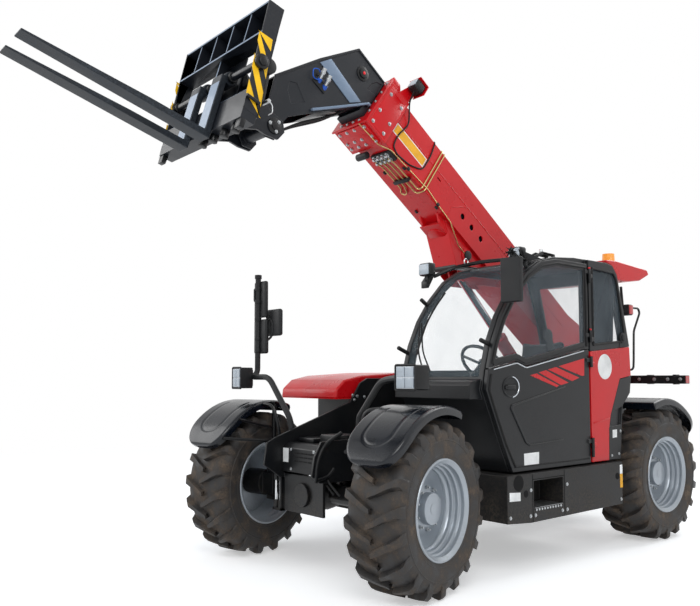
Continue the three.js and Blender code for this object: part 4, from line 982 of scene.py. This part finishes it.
def cab_outside():
    disc = turned([(0.0, 0.0), (0.106, 0.0), (0.106, 0.001), (0.0, 0.001)], 64)
    disc.data.transform(shift(1.0554, 2.166, 1.537))
    put(disc, "blank_disc", "white")
    crease = side_plate([(1.984, 1.066), (2.218, 1.1), (2.221, 1.112), (1.984, 1.08)], 1.0545, 1.0595)
    put(round_edges(crease, 0.0022), "side_panel_crease", "red")
    put(side_plate([(2.27, 1.003), (2.338, 1.006), (2.336, 0.94), (2.268, 0.936)], 1.0512, 1.0522),
        "corner_label", "white", smooth=0)
    put(bolts([(1.051, 2.36, 0.8), (1.051, 2.25, 0.79), (1.051, 2.39, 0.99)], (1, 0, 0), 0.008, 0.006),
        "corner_bolts", "zinc")
    # Window rubbers round the quarter window and its latch knob.
    ring = [(2.000, 1.717), (2.494, 1.764), (2.474, 1.89), (2.376, 2.286), (2.328, 2.344), (2.000, 2.356),
            (2.000, 1.717)]
    put(tube([(1.0555, y, z) for y, z in ring], 0.009, 0.02), "quarter_window_rubber", "rubber")
    latch = [rod((1.048, 2.45, 1.788), (1.068, 2.45, 1.788), 0.046, 0.006, 40),
             rod((1.066, 2.45, 1.788), (1.078, 2.45, 1.788), 0.03, 0.005, 32),
             side_plate([(2.41, 1.79), (2.49, 1.79), (2.5, 1.715), (2.4, 1.705)], 1.05, 1.058)]
    put(joined(*latch), "quarter_window_latch", "plastic")
    # Pegs for a window guard on the two front pillars.
    pegs = [rod(start, tip, 0.016, 0.004) for start, tip in (
        ((0.205, 0.935, 2.025), (0.205, 0.838, 2.084)), ((0.205, 0.705, 1.632), (0.205, 0.575, 1.682)),
        ((1.015, 0.715, 1.684), (1.015, 0.61, 1.715)))]
    put(joined(*pegs), "pillar_pegs", "rubber")
    # The wiper: a double arm on a pivot below the glass and its blade.
    blade = [(0.45, 0.86, 2.118), (0.45, 0.745, 2.000), (0.45, 0.64, 1.86), (0.45, 0.575, 1.72),
             (0.45, 0.535, 1.62)]
    arms = [[(0.47, 0.7, 1.425), (0.46, 0.59, 1.64), (0.45, 0.59, 1.865)],
            [(0.43, 0.65, 1.43), (0.44, 0.56, 1.64), (0.44, 0.58, 1.865)]]
    put(joined(tube(blade, 0.008, 0.1), *[tube(arm, 0.006, 0.06) for arm in arms],
               rod((0.45, 0.61, 1.41), (0.45, 0.55, 1.46), 0.02, 0.004)), "windscreen_wiper", "rubber")
    # Work lights on a bar over the windscreen, and an angled black bracket on the roof.
    bar = [tube([(0.29, 0.9, 2.27), (0.4, 1.03, 2.345), (0.62, 1.1, 2.372), (0.86, 1.16, 2.372)],
                0.016, 0.05),
           side_plate([(0.775, 2.165), (0.8, 2.165), (0.88, 2.29), (0.85, 2.3), (0.775, 2.215)],
                      0.27, 0.33),
           tube([(0.98, 1.1, 2.2), (0.98, 1.07, 2.36), (0.93, 1.17, 2.385)], 0.01, 0.03),
           block((0.4, 1.02, 2.325), (0.56, 1.12, 2.335))]
    frame_bar = [(1.236, 2.315), (1.25, 2.372), (1.432, 2.448), (1.598, 2.44), (1.596, 2.405), (1.56, 2.418),
                 (1.44, 2.424), (1.285, 2.36), (1.275, 2.325)]
    bar.append(side_plate(frame_bar, 0.9, 0.912))
    bar.append(side_plate(frame_bar, 0.965, 0.977))
    bar.append(block((0.9, 1.44, 2.425), (0.977, 1.58, 2.44)))
    put(round_edges(joined(*bar), 0.0025), "roof_light_bar", "black")
    put(joined(rod((0.94, 1.46, 2.438), (0.94, 1.46, 2.472), 0.015, 0.006),
               turned_ring((0.5, 1.06, 2.385), 0.022, 0.006)), "roof_fittings", "zinc")
    for tag, x, y, z in (("left", 0.855, 1.255, 2.425), ("right", 0.315, 0.79, 2.315)):
        case = block((x - 0.062, y - 0.03, z - 0.052), (x + 0.062, y + 0.05, z + 0.052))
        round_edges(case, 0.018, 3)
        put(joined(case, block((x - 0.012, y, z - 0.1), (x + 0.012, y + 0.02, z - 0.04))),
            "work_light_case_" + tag, "plastic")
        put(round_edges(block((x - 0.052, y - 0.036, z - 0.042), (x + 0.052, y - 0.028, z + 0.042)), 0.006),
            "work_light_lens_" + tag, "clear")
    # The step box: a front plate whose holes and gaps are thin black sheets of painted shadow, a ladder
    # grating and bolts.
    holes = [rod((1.1005, 0.914, 0.68), (1.1015, 0.914, 0.68), 0.058, 0, 40),
             rod((1.1005, 0.999, 0.596), (1.1015, 0.999, 0.596), 0.026, 0, 32),
             rod((1.1005, 2.245, 0.624), (1.1015, 2.245, 0.624), 0.028, 0, 32),
             block((1.1003, 1.078, 0.385), (1.1012, 1.084, 0.735)),
             block((1.1003, 1.48, 0.385), (1.1012, 1.487, 0.735)),
             block((1.1003, 1.087, 0.69), (1.1012, 1.478, 0.696))]
    put(joined(*holes), "step_box_holes", "shadow", smooth=0)
    rungs = [block((0.9, 1.105, 0.478), (1.098, 1.458, 0.484))]
    rungs += [rod((1.098, 1.12 + 0.034 * i, 0.47), (1.106, 1.12 + 0.034 * i, 0.47), 0.009, 0, 12)
              for i in range(10)]
    put(joined(*rungs), "step_grating", "zinc")
    put(bolts([(1.1, y, z) for y, z in ((1.517, 0.622), (1.515, 0.43), (1.058, 0.618), (1.05, 0.43),
                                        (1.11, 0.43), (0.815, 0.441), (2.295, 0.43), (1.45, 0.43))],
              (1, 0, 0), 0.009, 0.006), "step_box_bolts", "zinc")
    put(joined(side_plate([(0.808, 0.621), (0.934, 0.612), (0.934, 0.552), (0.808, 0.558)], 1.1004, 1.1012),
               side_plate([(2.285, 0.714), (2.325, 0.714), (2.325, 0.64), (2.285, 0.64)], 1.1004, 1.1012)),
        "step_box_labels", "white", smooth=0)
    put(side_plate([(2.285, 0.638), (2.325, 0.638), (2.325, 0.525), (2.285, 0.525)], 1.1004, 1.1012),
        "step_box_label_amber", "label", smooth=0)
    # The rear lamp, its bent guard, and fittings on the rear beam.
    put(joined(round_edges(block((0.74, 2.845, 2.02), (0.9, 2.925, 2.12)), 0.012),
               tube([(0.82, 2.88, 2.12), (0.82, 2.86, 2.29)], 0.012)), "rear_lamp_case", "plastic")
    lenses = joined(block((0.752, 2.918, 2.028), (0.888, 2.932, 2.112)),
                    block((0.898, 2.853, 2.028), (0.906, 2.918, 2.112)))
    put(round_edges(lenses, 0.004), "rear_lamp_lens", "ruby")
    put(tube([(0.82, 2.9, 2.1), (0.83, 3.14, 2.102), (0.83, 3.165, 2.06), (0.85, 3.015, 1.88),
              (0.85, 3.00, 1.6), (0.85, 2.99, 1.52), (0.6, 2.99, 1.5), (0.245, 3.02, 1.2)], 0.01, 0.03),
        "rear_lamp_guard", "black")
    put(joined(block((0.6, 3.694, 1.38), (0.64, 3.766, 1.474)),
               block((0.87, 3.694, 1.378), (0.9, 3.772, 1.476)),
               rod((0.75, 3.688, 1.44), (0.75, 3.778, 1.44), 0.012, 0.002)), "rear_beam_fittings", "black")
    put(joined(block((0.996, 3.695, 1.39), (1.003, 3.765, 1.463)),
               block((-1.003, 3.695, 1.39), (-0.996, 3.765, 1.463))),
        "rear_beam_ends", "ruby", smooth=0)
    put(bolts([(x, 3.69, 1.43) for x in (-0.9, -0.6, -0.3, 0.3, 0.52, 0.68, 0.82, 0.95)], (0, -1, 0), 0.012),
        "rear_beam_bolts", "zinc")


# ---------------------------------------------------------------- mudguards
def fender(tag):
    """A moulded mudguard: crowned edges, a turned-down rim, a round end and a pressed channel."""
    side, y, _ = CORNERS[tag]
    plain_end, round_end = (-20, 60) if y == 0 else (20, -60)
    deselect()
    bpy.ops.mesh.primitive_grid_add(x_subdivisions=60, y_subdivisions=110)
    piece = bpy.context.object
    radius, half, crown, nose, hem = 0.677, 0.223, 0.024, 0.25, 0.034
    channel, groove, depth = 0.112, 0.013, 0.004
    length = math.radians(80) * radius
    for vertex in piece.data.vertices:
        p, along = vertex.co.x, (vertex.co.y + 1) / 2 * length
        end = length - along
        taper = 1 - min(end / nose, 1)
        width = half * (0.3 + 0.7 * (1 - taper ** 2.2) ** (1 / 2.2))
        x = math.copysign(1 - (1 - abs(p)) ** 1.4, p) * width
        edge = min(width - abs(x), end, along)
        drop = crown - math.sqrt(crown ** 2 - (crown - edge) ** 2) if edge < crown else 0
        turn = length - 0.24
        if along > turn:
            off = abs(math.hypot(x, along - turn) - channel)
        else:
            off = math.hypot(abs(x) - channel, max(0.0, turn - 0.3 - along))
        drop += depth * max(0.0, 1 - (off / groove) ** 2)
        angle = math.radians(plain_end + (round_end - plain_end) * along / length)
        reach = radius - drop
        vertex.co = (x, -reach * math.sin(angle), reach * math.cos(angle))
    count = len(piece.data.vertices)
    in_edit(piece, lambda: bpy.ops.mesh.region_to_loop(), lambda: bpy.ops.mesh.extrude_region_move())
    for vertex in list(piece.data.vertices)[count:]:
        shrink = 1 - hem / math.hypot(vertex.co.y, vertex.co.z)
        vertex.co.y *= shrink
        vertex.co.z *= shrink
    modified(piece, "SOLIDIFY", thickness=0.004, offset=0.0)
    in_edit(piece, face_out)
    piece.data.transform(shift(side * (WHEEL_OUT - 0.003), 0, 0))
    on_knuckle = partial(put, body="knuckle_" + tag, place=knuckle_place(tag))
    on_knuckle(piece, "fender_shell_" + tag, "fender", 50, replaces=("fender_" + tag,))
    ahead = 1 if y == 0 else -1
    stays = [tube([(side * 0.06, -0.1 * ahead, 0.655), (-side * 0.1, -0.12 * ahead, 0.64),
                   (-side * 0.16, -0.1 * ahead, 0.42), (0, 0, 0.28)], 0.014, 0.07),
             tube([(0, 0, 0.32), (-side * 0.12, -0.2 * ahead, 0.36), (side * 0.05, -0.525 * ahead, 0.395)],
                  0.013, 0.08),
             tube([(0, 0, 0.45), (side * 0.03, -0.385 * ahead, 0.535)], 0.011)]
    on_knuckle(joined(*stays), "fender_stays_" + tag, "black")


# ---------------------------------------------------------------- front, lamps and mirrors
def lamp(name, x0, x1, y, z0, z1):
    """A square work lamp that looks forward: a case, a bright back and four clear cells."""
    rim = 0.011
    edge = [(x0, y - 0.002, z0), (x1, y - 0.002, z0), (x1, y - 0.002, z1), (x0, y - 0.002, z1)]
    put(tube(edge + [edge[0], edge[1]], 0.007, 0.012), name + "_bezel", "plastic")
    put(block((x0 + rim, y - 0.003, z0 + rim), (x1 - rim, y + 0.002, z1 - rim)), name + "_reflector",
        "steel", 0)
    cells = []
    dx, dz = (x1 - x0 - 2 * rim) / 2, (z1 - z0 - 2 * rim) / 2
    for i in (0, 1):
        for j in (0, 1):
            low = (x0 + rim + i * dx + 0.003, y - 0.01, z0 + rim + j * dz + 0.003)
            high = (x0 + rim + (i + 1) * dx - 0.003, y - 0.003, z0 + rim + (j + 1) * dz - 0.003)
            cells.append(round_edges(block(low, high), 0.005, 3))
    put(joined(*cells), name + "_cells", "clear")
    fins = [block((x0 + 0.02 + 0.022 * i, y + 0.1, z0 + 0.02), (x0 + 0.028 + 0.022 * i, y + 0.128, z1 - 0.02))
            for i in range(int((x1 - x0 - 0.04) / 0.022) + 1)]
    put(joined(*fins), name + "_fins", "plastic")


def lamps_and_mirrors():
    def soft(low, high, width=0.016):
        return round_edges(block(low, high), width, 3)

    left = [round_edges(block((0.2553, 0.04, 0.86), (0.295, 0.15, 0.985)), 0.006),
            tube([(0.279, 0.095, 0.93), (0.285, 0.088, 1.09), (0.3, 0.08, 1.15), (0.6, 0.023, 1.42),
                  (0.75, 0.015, 1.44), (0.88, 0.015, 1.44)], 0.024, 0.09),
            soft((0.815, -0.04, 1.36), (1.005, 0.1, 1.53), 0.012),
            block((0.8, -0.01, 1.395), (0.816, 0.04, 1.49))]
    put(joined(*left), "lamp_stand_left", "black", replaces=("lamp_left",))
    right = [round_edges(block((-0.295, -0.155, 0.86), (-0.2553, -0.045, 0.985)), 0.006),
             tube([(-0.279, -0.1, 0.93), (-0.285, -0.11, 1.07), (-0.3, -0.125, 1.145),
                   (-0.62, -0.097, 1.45), (-0.9, -0.069, 1.45), (-0.93, -0.003, 1.49),
                   (-0.93, -0.003, 2.33)], 0.024, 0.08),
             soft((-1.01, -0.2, 1.355), (-0.88, -0.08, 1.53), 0.01),
             soft((-1.01, 0.006, 1.96), (-0.835, 0.043, 2.275)),
             soft((-1.01, 0.006, 1.65), (-0.825, 0.043, 1.945)),
             soft((-0.918, 0.062, 1.8), (-0.7, 0.103, 2.03), 0.02),
             tube([(-0.93, -0.003, 1.97), (-0.905, 0.05, 1.98), (-0.8, 0.06, 1.93), (-0.8, 0.06, 1.8),
                   (-0.905, 0.05, 1.745), (-0.93, -0.003, 1.745)], 0.01, 0.04),
             tube([(-0.93, -0.003, 2.2), (-0.945, -0.03, 2.21), (-0.945, -0.03, 2.1), (-0.93, -0.003, 2.09)],
                  0.009, 0.02)]
    right += [rod((-0.93, -0.003, z), (-0.93, -0.003, z + 0.035), 0.03, 0.004)
              for z in (1.66, 1.76, 1.93, 2.08, 2.19, 2.295)]
    put(joined(*right), "lamp_and_mirrors_right", "plastic", replaces=("lamp_mirror_right",),
        slot="black_paint")
    mirrors = [block((-0.998, 0.0425, 1.972), (-0.847, 0.0442, 2.263)),
               block((-0.998, 0.0425, 1.662), (-0.837, 0.0442, 1.933)),
               block((-0.905, 0.1025, 1.815), (-0.713, 0.1042, 2.015))]
    put(joined(*mirrors), "mirror_glass_right", "mirror", 0)
    lamp("front_lamp_left", 0.815, 1.005, -0.04, 1.36, 1.53)
    lamp("front_lamp_right", -1.01, -0.88, -0.2, 1.355, 1.53)


def engine_side():
    # Vent slots on the pod's side, drawn as thin black sheets of painted shadow.
    vents = [block((-1.0812, 1.46 + 0.036 * i, 0.74), (-1.0795, 1.476 + 0.036 * i, 1.1)) for i in range(18)]
    vents += [block((-1.0812, 0.98, 0.8 + 0.036 * i), (-1.0795, 1.3, 0.814 + 0.036 * i)) for i in range(8)]
    put(joined(*vents), "engine_side_vents", "shadow", smooth=0)
    loop = [(1.43, 0.71), (2.12, 0.71), (2.12, 1.13), (1.43, 1.13), (1.43, 0.71), (1.55, 0.71)]
    put(tube([(-1.0805, y, z) for y, z in loop], 0.006, 0.03), "engine_vent_frame", "black")
    put(bolts([(-1.0803, y, z) for y in (0.93, 1.37, 2.2) for z in (0.62, 1.18)], (-1, 0, 0), 0.009, 0.006),
        "engine_side_bolts", "zinc")
    latches = []
    for y in (0.9, 1.98):
        latches.append(round_edges(block((-1.0745, y, 1.292), (-1.0605, y + 0.11, 1.328)), 0.006))
        latches.append(round_edges(block((-1.0765, y + 0.03, 1.3), (-1.074, y + 0.08, 1.32)), 0.001))
    put(joined(*latches), "hood_latches", "plastic", body="hood")


def front():
    # Louvre slots in the front cover, drawn as thin black sheets of painted shadow.
    slots = [block((x, -0.2305, z), (x + 0.042, -0.224, z + 0.009)) for z in (0.819, 0.849, 0.878)
             for x in (-0.081, -0.027, 0.027, 0.081, 0.135)]
    put(joined(*slots), "front_cover_slots", "shadow", 0)
    put(joined(block((-0.223, -0.2335, 0.808), (-0.16, -0.224, 0.912)),
               block((0.172, -0.2335, 0.8), (0.224, -0.224, 0.905))), "front_labels", "white", 0)
    put(bolts([(x, -0.23, z) for x, z in ((-0.125, 0.905), (-0.124, 0.762), (0.155, 0.905), (0.19, 0.762))],
              (0, -1, 0), 0.008, 0.005), "front_cover_bolts", "zinc")
    hooks = [tube([(0.262, -0.06, 1.04), (0.262, -0.22, 0.962), (0.262, -0.28, 0.846), (0.262, -0.296, 0.7)],
                  0.015, 0.06),
             tube([(0.262, -0.296, 0.715), (0.262, -0.183, 0.735), (0.262, -0.13, 0.79)], 0.012, 0.03),
             round_edges(block((0.05, -0.093, 0.95), (0.233, 0.131, 1.022)), 0.01),
             round_edges(block((-0.215, -0.1, 0.95), (-0.02, 0.11, 0.985)), 0.008)]
    put(joined(*hooks), "front_hook_and_boxes", "black")
    put(bolts([(-0.2345, y, z) for y, z in ((0.477, 1.3), (0.525, 1.292), (0.494, 1.262), (0.605, 1.285))],
              (1, 0, 0), 0.01, 0.006), "rail_bolts", "zinc")
    put(joined(rod((-0.35, -0.205, 0.5), (-0.35, -0.205, 0.66), 0.011, 0.002),
               rod((-0.29, -0.205, 0.48), (-0.29, -0.205, 0.66), 0.011, 0.002)), "front_rods", "chrome")
    rests = [rod((x, -0.205, 0.655), (x, -0.205, 0.75), 0.02, 0.004) for x in (-0.35, -0.29)]
    rests += [rod((x, -0.205, 0.44), (x, -0.205, 0.505), 0.02, 0.004) for x in (-0.35, -0.29)]
    rests.append(block((-0.37, -0.225, 0.735), (-0.256, -0.185, 0.765)))
    rests.append(block((-0.37, -0.225, 0.43), (-0.256, -0.185, 0.45)))
    rests.append(block((-0.275, -0.225, 0.43), (-0.256, -0.185, 0.765)))
    put(joined(*rests), "front_rod_sockets", "black")
    hoses = [tube([(x, 0.05, 0.9), (x, -0.12, 0.86), (x * 1.6, -0.19, 0.72), (x * 2.2, -0.13, 0.6)], 0.009,
                  0.07) for x in (0.12, 0.15)]
    put(joined(*hoses), "frame_hoses", "rubber")


# ---------------------------------------------------------------- seat
SWELL = 0.022   # the most that a pad bulges


def cushion(piece, name, node, floor):
    """A pad swollen by air pressure inside its cover, flat where it rests."""
    round_edges(piece, 0.022, 3)
    modified(piece, "REMESH", mode="VOXEL", voxel_size=0.006)
    start = [vertex.co.copy() for vertex in piece.data.vertices]
    cloth = piece.modifiers.new("air", "CLOTH")
    cloth.settings.use_pressure = True
    cloth.settings.uniform_pressure_force = 4
    cloth.settings.effector_weights.gravity = 0
    for step in range(1, 21):
        bpy.context.scene.frame_set(step)
    use(piece)
    bpy.ops.object.modifier_apply(modifier=cloth.name)
    bpy.context.scene.frame_set(1)
    for vertex, was in zip(piece.data.vertices, start):
        move = vertex.co - was
        if move.length > SWELL:
            vertex.co = was + move * (SWELL / move.length)
        vertex.co.z = max(vertex.co.z, floor)
    modified(piece, "SUBSURF", levels=1, render_levels=1)
    put(piece, name, "cloth", 60, replaces=(node,))


def seat():
    cushion(block((0.402, 1.388, 1.1215), (0.858, 1.812, 1.212)), "seat_pad", "seat_cushion", 1.1212)
    cushion(side_plate([(1.755, 1.25), (1.812, 1.25), (1.935, 1.735), (1.878, 1.76)], 0.418, 0.842),
            "seat_back_pad", "seat_back", 1.236)


studio()
wheels()
carried_over()
boom()
boom_head()
carriage()
doors()
cab_outside()
for corner in CORNERS:
    fender(corner)
lamps_and_mirrors()
engine_side()
front()
seat()

bpy.context.view_layer.update()
